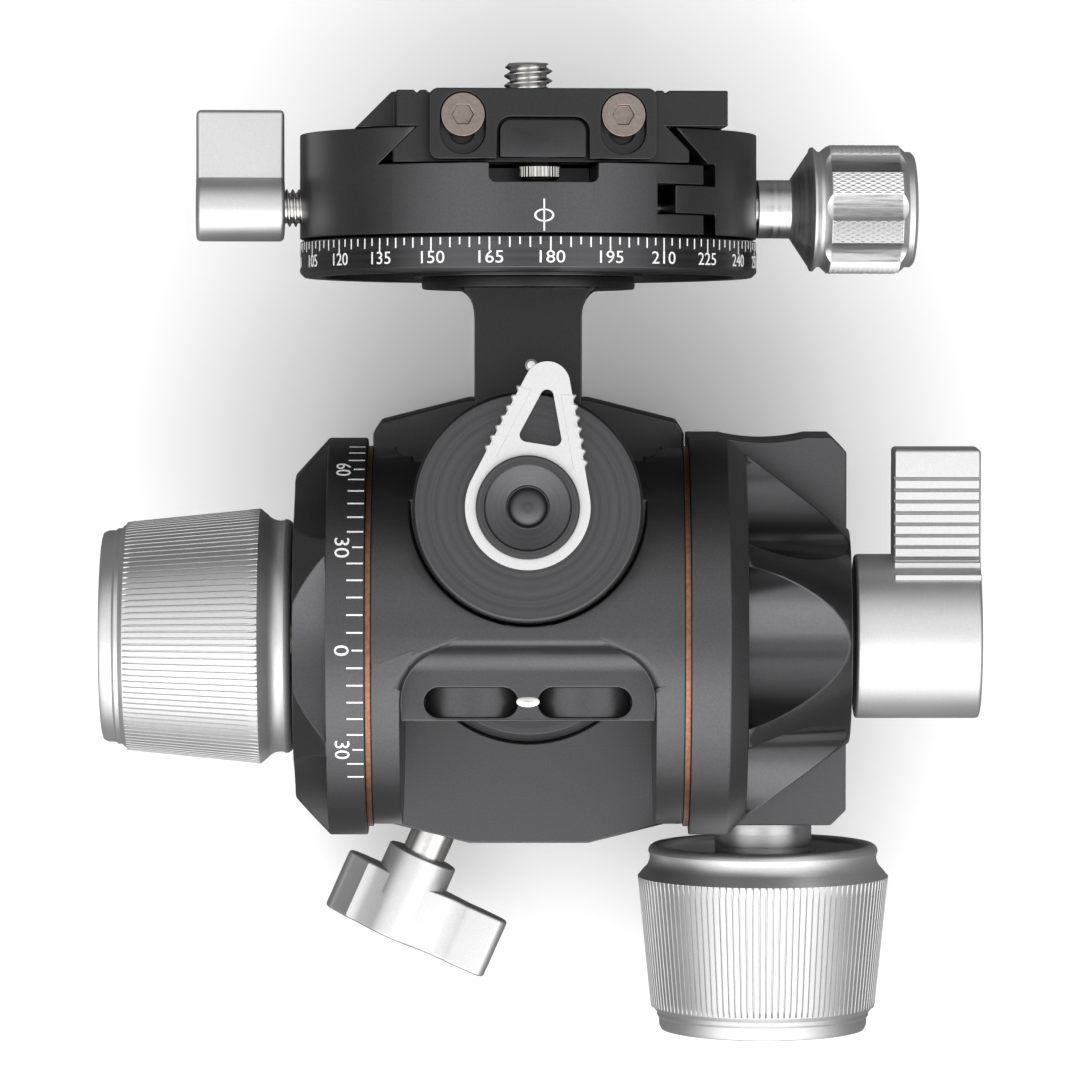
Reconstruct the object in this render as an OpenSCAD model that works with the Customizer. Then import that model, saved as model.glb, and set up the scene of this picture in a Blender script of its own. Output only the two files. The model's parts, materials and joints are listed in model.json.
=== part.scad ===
// Geared tripod head, drawn with its tilt stage cranked forward to the stop.
// Origin: mouth of the tripod thread. +Z: up along the pan axis. +Y: the way the tilted stage points.

/* [Foot] */
// Diameter of the round foot
foot_d = 60; // [57:0.5:62]
// Height of the foot
foot_h = 8; // [7:0.25:9]
// Tap radius of the 3/8 inch tripod thread
socket_r = 3.97; // [3.9:0.01:4.1]
// Depth of the tripod thread
socket_depth = 12; // [9:0.5:13]
// Radius of the post that the head pans on
post_r = 11; // [10:0.25:12]
// Radius of the disc that holds the block on the post
hub_r = 15.3; // [14.5:0.1:16]
// Height of the hub disc
hub_h = 2.5; // [2:0.25:3]

/* [Pan block] */
// Half length of the block, front to back
block_half_y = 30; // [28:0.25:31]
// Height of the block
block_h = 11.2; // [10.8:0.1:11.6]
// Height of the wings that carry the cheeks
wing_h = 4.7; // [4:0.1:5]
// Half width of the wings and legs, front to back
leg_half_y = 17; // [15:0.5:18]
// Thickness of the glide ring under the block
glide_t = 0.3; // [0.2:0.05:0.5]
// Gap between the block's top and the tilt barrel over it
barrel_gap = 1.8; // [1.2:0.1:5]

/* [Cheeks and housing] */
// Radius of both cheeks
cheek_r = 26.1; // [25.6:0.1:26.4]
// Width of the cheeks' straight rim
rim_w = 5; // [4:0.25:6]
// Width of the left cheek's fluted taper
taper_w = 4.4; // [3.5:0.1:5]
// Radius of the left cheek's small end
taper_r = 21.3; // [20.5:0.1:22]
// Width of the right flange's bevel
bevel_w = 2.4; // [2:0.1:3]
// Width of the fluted gear cover
cover_w = 13.7; // [12.5:0.1:15]
// Radius of the cover's large end
cover_r = 24; // [23.5:0.1:24.5]
// Radius of the cover's small end
cover_end_r = 14; // [13.6:0.1:14.6]
// Number of flutes
flutes = 6; // [5:1:7]
// Half angle that one flute takes at the large end
flute_half_angle = 26; // [20:0.5:26.5]
// Half length of the worm box, front to back
box_half_y = 25.8; // [25:0.1:26.4]
// Height of the worm box above the worm's axis
box_rise = 10; // [9.5:0.1:10.5]
// Chamfer of the worm box's corners
box_chamfer = 2; // [1:0.25:3]
// Depth of the scoop in the worm box's far side
scoop_depth = 0.7; // [0.4:0.1:1.2]

/* [Tilt barrel] */
// Radius of the barrel
barrel_r = 24.7; // [24.4:0.1:24.9]
// Half width of the barrel between its friction rings
barrel_half_w = 20.3; // [20.3:0.1:21.5]
// Thickness of the friction rings
ring_t = 0.65; // [0.5:0.05:0.8]
// How far the friction rings stand out past the barrel
ring_lip = 0.3; // [0.1:0.05:0.6]
// Half width of the milled middle of the barrel
waist_half_w = 16.5; // [16:0.1:16.8]
// Depth of the flat milled on the barrel's top
waist_cut = 1; // [0.5:0.1:2.2]
// Depth of the milled bottom below the tilt axis
waist_bottom = 10.6; // [9.5:0.1:12]
// Depth of the front pocket, from the barrel's front
pocket_depth = 4.7; // [3.8:0.1:5]
// Depth of the pocket's top edge below the tilt axis
pocket_top = 1.1; // [0.5:0.1:2]
// Corner radius of the front pocket
pocket_corner_r = 7; // [5:0.1:7.5]
// Radius of the fillet along the pocket's top
pocket_fillet_r = 3.2; // [2:0.1:3.8]
// Length of each rounded slot in the pocket
slot_len = 12.1; // [10:0.1:12.5]
// Height of each rounded slot
slot_h = 3.9; // [3:0.1:4.2]
// Width of the web between the two slots
slot_web = 2.6; // [2:0.1:4]
// Chamfer of the flanges beside the milled top
flange_chamfer = 0.9; // [0.4:0.1:1.5]
// Radius of the axle stubs that the barrel turns on
axle_r = 9; // [8:0.25:9.5]
// Angle of the stage from upright
tilt_rest = 93; // [80:1:93]

/* [Gears] */
// Pitch radius of the tilt wheel
tilt_wheel_r = 11.5; // [11.5:0.1:11.6]
// Teeth on the tilt wheel
tilt_teeth = 26; // [24:1:28]
// Pitch radius of the tilt worm
tilt_worm_r = 6.5; // [6.2:0.1:6.6]
// Pitch radius of the roll wheel
roll_wheel_r = 13; // [12.9:0.05:13.1]
// Teeth on the roll wheel
roll_teeth = 28; // [26:1:30]
// Pitch radius of the roll worm
roll_worm_r = 4; // [3.9:0.05:4.1]
// Height of a tooth above and below its pitch line
tooth_h = 0.8; // [0.6:0.05:0.85]
// Width of the wheels' teeth
tooth_w = 5; // [4:0.25:5.2]
// Radius of the worm shafts
shaft_r = 3; // [2.6:0.1:3]

/* [Roll cover and levers] */
// Radius of the front cover
cover_disc_r = 14.8; // [14:0.1:15]
// How far the front cover stands out past the barrel
cover_rise = 2.8; // [2:0.1:3.8]
// Radius of the roll axle
roll_axle_r = 5; // [4.5:0.1:5.5]
// Outer radius of the front lever's ring
lever_ring_r = 8; // [7.6:0.1:8.4]
// Radius of the front lever's cap
lever_cap_r = 6.6; // [6.3:0.1:6.7]
// Radius of the front lever's tip
lever_tip_r = 2.9; // [2.5:0.1:3.2]
// Length of the front lever from its axis to the centre of its tip
lever_arm = 15.9; // [15:0.1:17]
// Thickness of the front lever
lever_t = 4.8; // [4:0.1:5.5]
// Angle of the front lever from upright
lever_angle = 9; // [0:1:20]
// Radius of the right lever's hub
side_lever_r = 10.8; // [10.2:0.1:11.2]
// Width of the right lever's round hub
side_hub_w = 5.1; // [4.5:0.1:6]
// Width of the right lever's arm
side_arm_w = 11.4; // [10.5:0.1:12]
// Reach of the right lever's arm from its axis
side_arm_len = 24.8; // [23:0.1:25]
// Thickness of the right lever's arm
side_arm_t = 9; // [8:0.25:10]

/* [Drive knobs] */
// Largest radius of the drive knobs
knob_r = 17; // [16.2:0.1:17]
// Length of the drive knobs
knob_len = 25.2; // [24:0.1:27]
// Wall of the drive knobs' skirt
knob_wall = 1.7; // [1.4:0.1:2.2]
// Grooves round the drive knobs
knob_grooves = 36; // [24:1:40]
// Depth of the grooves
groove_depth = 0.35; // [0.25:0.05:0.4]

/* [Pan lock] */
// Angle of the pan lock from straight back
lock_angle = 24; // [20:1:28]
// Radius of the pan lock's screw
lock_screw_r = 2.95; // [2.6:0.05:2.95]
// Radius of the pan lock's round neck
lock_hub_r = 4.85; // [4.4:0.05:5.2]
// Distance of the pan lock's neck from the pan axis
lock_start = 35.2; // [34.5:0.1:37]
// Length of the pan lock's neck
lock_neck_len = 3.5; // [3:0.1:4.5]
// Length of the pan lock's wings along the screw
wing_len = 8.4; // [7.5:0.1:9.5]
// Reach of the short wing
wing_short = 8.5; // [8:0.1:10]
// Reach of the long wing
wing_long = 14.2; // [12:0.1:15]

/* [Neck and scale ring] */
// Height of the roll axis above the tilt axis
roll_rise = 17; // [17:0.05:17.1]
// Half width of the neck
neck_half_w = 7; // [6.5:0.1:7.4]
// Half width of the neck's flared top
flare_half_w = 9.3; // [8.8:0.1:10]
// Half thickness of the neck, front to back
neck_half_t = 8.7; // [8:0.1:9]
// Height at which the neck starts to flare
flare_start = 41.6; // [40:0.1:43]
// Height of the scale ring's lower face
ring_base = 47.1; // [46.8:0.1:48]
// Radius of the scale ring and the clamp
clamp_r = 30; // [29.5:0.1:31]
// Height of the scale ring
scale_h = 4.7; // [4.2:0.1:5]
// Radius of the post that the clamp pans on
clamp_post_r = 9; // [8.5:0.1:9.5]

/* [Clamp] */
// Angle of the clamp from straight ahead
clamp_angle = 4; // [0:1:10]
// Gap between the scale ring and the clamp
clamp_gap = 0.3; // [0.2:0.05:0.4]
// Height of the clamp
clamp_h = 13.7; // [13.4:0.1:14.2]
// Depth of the channel
channel_depth = 4.7; // [4.6:0.05:4.8]
// Half width of the plate's neck in the dovetail
dove_half = 16; // [15.5:0.1:16.4]
// Half width of the plate's dovetail, 38.1 mm across
dove_max_half = 19.05; // [18.8:0.05:19.2]
// How far the jaw stands open
jaw_open = 1.3; // [1.2:0.1:2]
// Distance of the clamp body's right face from its centre
jaw_face = 21.2; // [21:0.1:21.6]
// Height of the jaw's guide tongue
tongue_h = 3.6; // [3.2:0.1:3.8]
// Length of the jaw's guide tongue
tongue_len = 5.6; // [4.5:0.1:6]
// Radius of the clamp screw
clamp_screw_r = 2.5; // [2.2:0.1:2.5]
// Radius of the clamp knob
clamp_knob_r = 8.7; // [8.2:0.1:9]
// Length of the clamp knob's grip
clamp_grip_len = 11.2; // [10:0.1:12]
// Scallops round the clamp knob
scallops = 8; // [6:1:10]
// Width of the thumb tab
tab_w = 11.5; // [10.5:0.1:12.5]
// Reach of the thumb tab above its screw
tab_rise = 12.8; // [11:0.1:14]
// Radius of the thumb tab's round base
tab_r = 4.4; // [4:0.1:4.8]

/* [Camera plate] */
// Length of the plate, front to back
plate_len = 50; // [48:0.5:50]
// Height of the plate's platform
platform_h = 4.6; // [4.2:0.1:5]
// Reach of the platform to the left
platform_left = 23.6; // [22:0.1:24.5]
// Reach of the platform to the right
platform_right = 24; // [22:0.1:24.5]
// Ribs on each side of the platform
plate_ribs = 5; // [3:1:5]
// Half width of the adjustable lip
lip_half_w = 14.6; // [13.8:0.1:15]
// Thickness of the lip
lip_t = 3.5; // [3.2:0.1:4]
// Half distance between the lip's screws
lip_screw_x = 10.3; // [10.2:0.1:10.6]
// Travel of the lip
lip_travel = 2; // [1.5:0.1:2.4]
// Head radius of the lip screws
lip_head_r = 2.8; // [2.6:0.05:2.85]
// Half width of the arch in the lip
arch_half_w = 5.9; // [5.5:0.1:6.2]
// Radius of the 1/4 inch camera stud
stud_r = 3.175; // [3:0.025:3.2]
// Height of the stud above the plate
stud_h = 4.8; // [4:0.1:6]

/* [Hidden] */
$fn = 64;

// Clearance of a shaft in its running bore
run = 0.05;
// Clearance between faces that slide past each other
slide = 0.1;
// Clearance of a part in a loose pocket
loose = 0.4;
// Overrun of every cut
over = 1;

foot_chamfer = 0.8;
block_z = foot_h + glide_t;
block_top = block_z + block_h;
wing_top = block_z + wing_h;
hub_z = block_top - hub_h;
hub_gap = 1.2;
hub_screw_r = 1.5;
hub_screw_ring_r = 7.6;
hub_screw_head_r = 2.4;
hub_screw_head_h = 1.5;
// Outline of one quarter of the block, as shares of its half width and half length
block_outline_shares = [[0.385, 1], [0.952, 0.9], [1, 0.85]];

// The tilt axis stands high enough for the barrel and for the cheeks to clear the block
cheek_gap = 0.4;
axis_h = block_top + max(barrel_r + barrel_gap, cheek_r + cheek_gap);
ring_r = barrel_r + ring_lip;
waist_top = barrel_r - waist_cut;
pocket_face = barrel_r - pocket_depth;
front_face = barrel_r + cover_rise;

cheek_in = barrel_half_w + ring_t + slide;
block_half_x = cheek_in - slide;
rim_out = cheek_in + rim_w;
taper_out = rim_out + taper_w;
bevel_out = rim_out + bevel_w;
cover_out = bevel_out + cover_w;
leg_out = rim_out + bevel_w;
cheek_bolt_r = 2;
cheek_bolt_head_r = 3.4;
cheek_bolt_head_h = 2;
cheek_bolt_len = 10;
cheek_bolt_y = 10.5;

// How deep the flutes cut: shares of the small ends' radii, and where the cheek's flutes open
cheek_flute_shares = [0.94, 0.96];
cover_flute_share = 1.02;
worm_inset = 3;
worm_x = bevel_out + worm_inset;
worm_drop = tilt_wheel_r + tilt_worm_r;
worm_z = axis_h - worm_drop;
wheel_gap = 0.5;
wheel_cavity_r = tilt_wheel_r + tooth_h + wheel_gap;
wheel_face = worm_x - tooth_w / 2 - 2 * loose;
worm_cavity_r = tilt_worm_r + tooth_h + loose;
worm_half_len = 7;
worm_segments = 16;
scoop_r = 24;
// Middle of the scoop along the box, as a share of the box's width
scoop_mid_share = 0.48;
bush_wall = 2;
end_bush_len = 5;
bush_boss_r = 6.5;
bush_boss_len = 6;

flange_t = 3;
axle_flange_r = 14;
axle_screw_ring_r = 11.5;
axle_screw_r = 1.25;
axle_screw_len = 4.6;
wheel_seat_r = 6;
ring_inner_r = 16;
roll_wheel_gap = 1.4;
cavity_r = roll_wheel_r + tooth_h + roll_wheel_gap;
neck_gap = 0.3;
cavity_half_t = neck_half_t + neck_gap;
roll_worm_cavity_r = roll_worm_r + tooth_h + 2 * loose;
roll_bush_len = 3;
roll_bush_end = barrel_half_w - flange_t - slide;
axle_boss_wall = 1.5;
cover_seat_depth = 7.7;
cover_seat = barrel_r - cover_seat_depth;
cover_gap = 0.5;
cover_pocket_r = cover_disc_r + cover_gap;
cover_groove_r = 11.4;
cover_groove_w = 0.5;
cover_groove_depth = 0.4;
rear_nut_r = 8;
rear_nut_h = 2.5;
rear_nut_inset = 5.7;
rear_nut_face = barrel_r - rear_nut_inset;
slot_depth = 3;
slot_drop = 8.2;

tooth_share = 0.2;
flank_angle = 20;
// Floor of a wheel's tooth spaces, root of its teeth and floor of a worm's thread, as shares of tooth_h
wheel_root_share = 1.3;
tooth_root_share = 1.6;
worm_root_share = 1.2;
roll_hub_r = 9.9;
worm_steps = 12;
roll_core_r = 1.8;

lever_gap = 0.3;
lever_seat_gap = 0.6;
lever_teeth = 7;
window_half_w = 2;
window_rise = 1.4;
window_r = 0.7;
window_sides = 16;
lever_tooth_h = 0.6;
nub_r = 0.78;
// Place of the nub on the lever's tip, in degrees from the lever's right
nub_angle = 128;
// Where the saw teeth start and how far they run, as shares of the lever's straight flank
saw_start_share = 0.24;
saw_run_share = 0.67;
cap_dish_r = 5.4;
cap_rise = 0.8;
cap_dimple_r = 2.8;
cap_dish = 1.4;
cap_dimple = 0.5;
side_ridges = 10;
side_ridge_h = 0.5;
side_ridge_pitch = 1.487;
side_ridge_start = 6.95;
side_start = cover_out + lever_seat_gap + side_hub_w;
side_end = side_start + side_arm_w;
side_bolt_r = 2.5;
side_bolt_head_r = 4.5;
side_bolt_head_h = 2.5;

// Drive knob outline: shares of its radius and of its length
knob_outline_shares = [[0.84, 0], [0.88, 0.008], [0.9, 0.032], [0.894, 0.08], [0.95, 0.135], [0.99, 0.18],
    [0.99, 0.215], [0.88, 0.87], [0.835, 0.9], [0.835, 0.925], [0.81, 0.94], [0.805, 0.98], [0.775, 1]];
knob_web = 4;
knob_hub_r = 6;
knob_hub_len = 13;
groove_w = 0.7;
// Middle of a groove, the rise of its floor and its length, as shares of the knob's radius and length
groove_mid_shares = [0.935, 0.54];
groove_rise_shares = [0.11, 0.655];
groove_len_share = 0.64;
knob_gap = 3.4;
tilt_knob_start = box_half_y + knob_gap;
roll_knob_start = taper_out + loose;
cup_depth = knob_len - knob_web;

lock_rise = 5.3;
lock_z = block_z + lock_rise;
lock_shoe_len = 2.6;
lock_core_r = 4.2;
wing_half_t = 2.5;
wing_turn = 12;
// Outline of a wing from the hub to its end: shares of its reach and of its half thickness
wing_outline_shares = [[0, 0.8], [0.3, 0.72], [0.45, 0.68], [0.58, 0.78], [0.7, 0.95], [0.8, 1], [0.88, 0.94],
    [0.94, 0.76], [0.98, 0.5], [1, 0.2]];

flange_h = 1.5;
neck_flange_r = 14;
scale_lip_r = 27;
scale_floor_r = 15;
scale_recess = 1.2;
scale_chamfer = 0.6;
clamp_base = ring_base + scale_h + clamp_gap;
clamp_top = clamp_base + clamp_h;
floor_u = clamp_top - channel_depth;
retainer_r = 10.6;
retainer_h = 1.6;
retainer_drop = 0.2;
retainer_bolt_r = 2.4;
retainer_bolt_len = 8;
retainer_socket_r = 2.3;
post_top = floor_u - retainer_h - retainer_drop;
pin_well_half_w = 7;
pin_well_depth = 2.5;
pin_well_start = 14;
pin_well_corner_r = 0.9;
screw_rise = 4.1;
screw_u = clamp_base + screw_rise;
tongue_rise = 0.4;
tongue_u = screw_u + tongue_rise;
tongue_gap = 0.15;
slot_reach = 6.35;
jaw_gap = 1.7;
jaw_in = jaw_face + jaw_gap;
jaw_lift = 0.15;
screw_tip = 12.4;
screw_way = 2.2;
collar_shaft_r = 3.85;
collar_len = 4.4;
cone_len = 2.7;
washer_len = 1.3;
grip_cap_len = 1.3;
scallop_r = 3.2;
scallop_depth = 0.9;
grip_chamfer = 1.1;
tab_gap = 2.1;
tab_tip_half_t = 1.5;
tab_root_half_t = 3.2;
tab_root_rise = 2.8;
tab_screw_r = 2.5;
top_shoe_len = 3;
collar_start = clamp_r + slide;
cone_start = collar_start + collar_len;
grip_start = cone_start + cone_len + washer_len;
grip_end = grip_start + clamp_grip_len;

plate_gap = 0.2;
plate_base = floor_u + plate_gap;
platform_base = clamp_top + slide;
plate_top = platform_base + platform_h;
plate_front = plate_len / 2;
rib_pitch = 1.6;
rib_depth = 0.4;
corner_cut = 5;
stop_y = 21;
stop_head_r = 2.7;
stop_head_h = 2.3;
stop_shank_r = 1.45;
stop_shank_len = 3.4;
lip_shank_r = 1.45;
lip_shank_len = 5;
lip_head_h = 2;
lip_seat_t = 1.4;
lip_screw_drop = 3.3;
lip_screw_u = plate_top - lip_screw_drop;
arch_h = 5.4;
arch_corner_r = 1.8;
lip_corner_r = 1.2;
screw_head_r = 7.4;
screw_head_h = 2.8;
screw_neck_r = 3.3;
screw_shank_r = 2.9;
coin_slot_w = 1.4;
coin_slot_depth = 1.2;

black = [0.08, 0.08, 0.085];
silver = [0.72, 0.72, 0.72];
bronze = [0.55, 0.33, 0.2];
steel = [0.6, 0.6, 0.6];

function pitch(r, n) = 2 * PI * r / n;
// Distance of a flute cutter's axis, for its deepest radius, the radius it opens at and its half angle
function flute_axis(deep, r, half) = (r * r - deep * deep) / (2 * (r * cos(half) - deep));

// Places that turn a part's own frame into the head's frame
module stage() {
    translate([0, 0, axis_h]) rotate([-tilt_rest, 0, 0]) children();
}
module clamp_stage() {
    stage() rotate([0, 0, clamp_angle]) children();
}
module toward_x() {
    rotate([0, 90, 0]) children();
}
module toward_front() {
    rotate([90, 0, 0]) children();
}
module roll_centre() {
    translate([0, 0, roll_rise]) children();
}
module tilt_centre() {
    translate([0, 0, axis_h]) children();
}
module lock_place() {
    translate([0, 0, lock_z]) rotate([0, 0, -lock_angle]) rotate([90, 0, 0]) children();
}

// A straight-sided tube from z0 to z1
module tube(outer, inner, z0, z1) {
    difference() {
        translate([0, 0, z0]) cylinder(r = outer, h = z1 - z0);
        translate([0, 0, z0 - over]) cylinder(r = inner, h = z1 - z0 + 2 * over);
    }
}
module rod(r, z0, z1) {
    translate([0, 0, z0]) cylinder(r = r, h = z1 - z0);
}
// Slot outline along x, its ends round
module slot_shape(len, h) {
    square([len - h, h], center = true);
    for (side = [-1, 1]) translate([side * (len - h) / 2, 0]) circle(r = h / 2);
}
// Round-headed screw whose head's face is at z = 0 and whose shank runs to -z, with a hexagon socket
module cap_screw(shank_r, shank_len, head_r, head_h) {
    difference() {
        union() {
            rod(head_r, -head_h, 0);
            rod(shank_r, -head_h - shank_len, -head_h);
        }
        translate([0, 0, -head_h / 2]) cylinder(r = head_r / 2, h = head_h, $fn = 6);
    }
}
// Scoops round a cone that runs out towards its small end
module flute_cutters(deep, large_r, len) {
    axis_r = flute_axis(deep, large_r, flute_half_angle);
    for (i = [0:flutes - 1]) rotate(i * 360 / flutes) translate([axis_r, 0, 0])
        cylinder(r = axis_r - deep, h = len);
}
// Worm wheel about z, one tooth at -y; its teeth lean with the worm's thread
module worm_wheel(r, n, worm_r, seat_r, hub_half_w) {
    p = pitch(r, n);
    foot = tooth_share * p + tooth_h * tan(flank_angle);
    crest = tooth_share * p - tooth_h * tan(flank_angle);
    lean = atan(p / (2 * PI * worm_r));
    root = r - wheel_root_share * tooth_h;
    difference() {
        union() {
            rod(root, -hub_half_w, hub_half_w);
            for (i = [0:n - 1]) rotate(i * 360 / n) translate([0, -r, 0]) rotate([0, lean, 0])
                translate([0, 0, -tooth_w / 2]) linear_extrude(tooth_w)
                    polygon([[-foot, tooth_h * tooth_root_share], [-foot, tooth_h], [-crest, -tooth_h],
                        [crest, -tooth_h], [foot, tooth_h], [foot, tooth_h * tooth_root_share]]);
        }
        rod(seat_r, -tooth_w * 2, tooth_w * 2);
    }
}
// Right-hand worm along z, with a thread space at +y in its middle
module worm(r, p, half_len, bore_r) {
    turns = 2 * half_len / p;
    foot = 360 * (tooth_share * p + tooth_h * tan(flank_angle)) / p;
    crest = 360 * (tooth_share * p - tooth_h * tan(flank_angle)) / p;
    core = r - worm_root_share * tooth_h;
    flank = [for (k = [0:0.25:1]) [crest + k * (foot - crest), r + tooth_h + k * (core - r - tooth_h)]];
    round_core = [for (k = [0.25:0.25:0.75]) [foot + k * (360 - 2 * foot), core]];
    back = [for (i = [len(flank) - 1:-1:0]) [360 - flank[i][0], flank[i][1]]];
    difference() {
        translate([0, 0, -half_len]) rotate(-90 - 180 * turns)
            linear_extrude(2 * half_len, twist = -360 * turns, slices = ceil(worm_steps * turns),
                segments = worm_segments, $fn = worm_segments)
                polygon([for (q = concat([[0, r + tooth_h]], flank, round_core, back))
                    [q[1] * cos(q[0]), q[1] * sin(q[0])]]);
        rod(bore_r, -half_len - over, half_len + over);
    }
}
// Ribbed cup knob about z, its open skirt at z = 0
module drive_knob() {
    inner_r = knob_r * knob_outline_shares[0][0] - knob_wall / 2;
    outline = [for (q = knob_outline_shares) [q[0] * knob_r, q[1] * knob_len]];
    groove_lean = atan(knob_r * groove_rise_shares[0] / (knob_len * groove_rise_shares[1]));
    groove_len = knob_len * groove_len_share;
    difference() {
        rotate_extrude() polygon(concat([[0, cup_depth], [inner_r - knob_wall, cup_depth], [inner_r, 0]],
            outline, [[0, knob_len]]));
        for (i = [0:knob_grooves - 1]) rotate(i * 360 / knob_grooves)
            translate([knob_r * groove_mid_shares[0] - groove_depth, 0, knob_len * groove_mid_shares[1]])
                rotate([0, -groove_lean, 0]) translate([0, -groove_w / 2, -groove_len / 2])
                    cube([knob_r, groove_w, groove_len]);
    }
    difference() {
        rod(knob_hub_r, cup_depth - knob_hub_len, cup_depth);
        rod(shaft_r, 0, cup_depth + over);
    }
}

// Foot
module tripod_foot() {
    color(black) difference() {
        rotate_extrude() polygon([[0, 0], [foot_d / 2 - foot_chamfer, 0], [foot_d / 2, foot_chamfer],
            [foot_d / 2, foot_h - foot_chamfer], [foot_d / 2 - foot_chamfer, foot_h], [post_r, foot_h],
            [post_r, hub_z], [0, hub_z]]);
        rod(socket_r, -over, socket_depth);
        for (i = [0:2]) rotate(120 * i) translate([hub_screw_ring_r, 0, 0])
            rod(hub_screw_r, foot_h, hub_z + over);
    }
}
module pan_hub() {
    color(black) difference() {
        rod(hub_r, hub_z, block_top);
        for (i = [0:2]) rotate(120 * i) translate([hub_screw_ring_r, 0, 0]) {
            rod(hub_screw_r, hub_z - over, block_top + over);
            rod(hub_screw_head_r, block_top - hub_screw_head_h, block_top + over);
        }
    }
}
module hub_screws() {
    color(steel) for (i = [0:2]) rotate(120 * i) translate([hub_screw_ring_r, 0, block_top])
        cap_screw(hub_screw_r, block_top - hub_screw_head_h - foot_h, hub_screw_head_r, hub_screw_head_h);
}

// Pan block and what stands on it
module block_outline() {
    q = [for (s = block_outline_shares) [s[0] * block_half_x, s[1] * block_half_y]];
    polygon([for (s = [[1, 1], [1, -1], [-1, -1], [-1, 1]], i = [0:2])
        let (k = s[0] * s[1] > 0 ? i : 2 - i) [s[0] * q[k][0], s[1] * q[k][1]]]);
}
module cheek_bolt_places() {
    for (x = [-1, 1], y = [-1, 1]) translate([x * (cheek_in + leg_out) / 2, y * cheek_bolt_y, 0]) children();
}
module pan_block() {
    color(black) difference() {
        union() {
            translate([0, 0, block_z]) linear_extrude(block_h) block_outline();
            translate([-leg_out, -leg_half_y, block_z]) cube([2 * leg_out, 2 * leg_half_y, wing_h]);
        }
        rod(post_r + run, block_z - over, hub_z + over);
        rod(hub_r + hub_gap, hub_z - slide, block_top + over);
        lock_place() rod(lock_screw_r + run, post_r / 2, block_half_y + post_r);
        cheek_bolt_places() {
            rod(cheek_bolt_r, 0, wing_top + over);
            rod(cheek_bolt_head_r, 0, block_z + cheek_bolt_head_h);
        }
    }
}
module pan_glide_ring() {
    color(bronze) tube(foot_d / 2 - 3 * foot_chamfer, post_r + loose, foot_h + run, block_z);
}
module cheek_screws() {
    color(steel) cheek_bolt_places() translate([0, 0, block_z]) mirror([0, 0, 1])
        cap_screw(cheek_bolt_r, cheek_bolt_len, cheek_bolt_head_r, cheek_bolt_head_h);
}
module leg(side) {
    translate([side > 0 ? cheek_in : -leg_out, -leg_half_y, wing_top])
        cube([leg_out - cheek_in, 2 * leg_half_y, axis_h - wing_top]);
}
module left_cheek() {
    color(black) difference() {
        union() {
            tilt_centre() mirror([1, 0, 0]) toward_x() difference() {
                rotate_extrude() polygon([[0, cheek_in], [cheek_r, cheek_in], [cheek_r, rim_out],
                    [taper_r, taper_out], [0, taper_out]]);
                translate([0, 0, rim_out]) flute_cutters(taper_r * cheek_flute_shares[0],
                    cheek_r * cheek_flute_shares[1], taper_w + over);
            }
            intersection() {
                leg(-1);
                translate([-rim_out, -leg_half_y, 0]) cube([rim_w, 2 * leg_half_y, axis_h]);
            }
            translate([-leg_out, -leg_half_y, wing_top])
                cube([leg_out - cheek_in, 2 * leg_half_y, axis_h - taper_r - wing_top]);
        }
        tilt_centre() mirror([1, 0, 0]) toward_x() rod(axle_r + bush_wall, 0, taper_out + over);
        cheek_bolt_places() rod(cheek_bolt_r, 0, block_z + cheek_bolt_head_h + cheek_bolt_len);
    }
}
module box_outline() {
    h = box_half_y;
    c = box_chamfer;
    polygon([[cheek_in, -h], [cover_out - c, -h], [cover_out, c - h], [cover_out, h - c], [cover_out - c, h],
        [cheek_in, h]]);
}
module worm_axis() {
    translate([worm_x, 0, worm_z]) rotate([90, 0, 0]) children();
}
module right_housing() {
    color(black) difference() {
        union() {
            tilt_centre() toward_x() rotate_extrude() polygon([[0, cheek_in], [cheek_r, cheek_in],
                [cheek_r, rim_out], [cover_r, bevel_out], [0, bevel_out]]);
            translate([0, 0, block_top + 2 * loose]) linear_extrude(worm_z + box_rise - block_top - 2 * loose)
                box_outline();
            leg(1);
        }
        tilt_centre() toward_x() {
            rod(axle_r + bush_wall, 0, wheel_face + over);
            rod(wheel_cavity_r, wheel_face, worm_x + tooth_w / 2 + 2 * loose);
            rod(wheel_seat_r + run, bevel_out, cover_out + over);
        }
        translate([cheek_in + scoop_mid_share * (cover_out - cheek_in), box_half_y + scoop_r - scoop_depth, 0])
            rod(scoop_r, block_top, axis_h);
        worm_axis() rod(worm_cavity_r, -worm_half_len - loose, worm_half_len + loose);
        worm_axis() rod(shaft_r + bush_wall, worm_half_len - over, box_half_y + over);
        worm_axis() rod(shaft_r + bush_wall, -worm_half_len - end_bush_len, -worm_half_len + over);
        cheek_bolt_places() rod(cheek_bolt_r, 0, block_z + cheek_bolt_head_h + cheek_bolt_len);
    }
}
module gear_cover() {
    color(black) difference() {
        tilt_centre() toward_x() difference() {
            rotate_extrude() polygon([[0, bevel_out], [cover_r, bevel_out], [cover_end_r, cover_out],
                [0, cover_out]]);
            translate([0, 0, bevel_out - over]) flute_cutters(cover_end_r * cover_flute_share, cover_r,
                cover_w + 2 * over);
            rod(wheel_cavity_r, bevel_out - over, worm_x + tooth_w / 2 + 2 * loose);
            rod(wheel_seat_r + run, 0, cover_out + over);
        }
        translate([bevel_out - over, -cover_r, 0]) cube([cover_w + 2 * over, 2 * cover_r, worm_z + box_rise]);
    }
}
module left_bush() {
    color(bronze) tilt_centre() mirror([1, 0, 0]) toward_x()
        tube(axle_r + bush_wall, axle_r + run, cheek_in, taper_out);
}
module right_bush() {
    color(bronze) tilt_centre() toward_x() tube(axle_r + bush_wall, axle_r + run, cheek_in, wheel_face);
}
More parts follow.
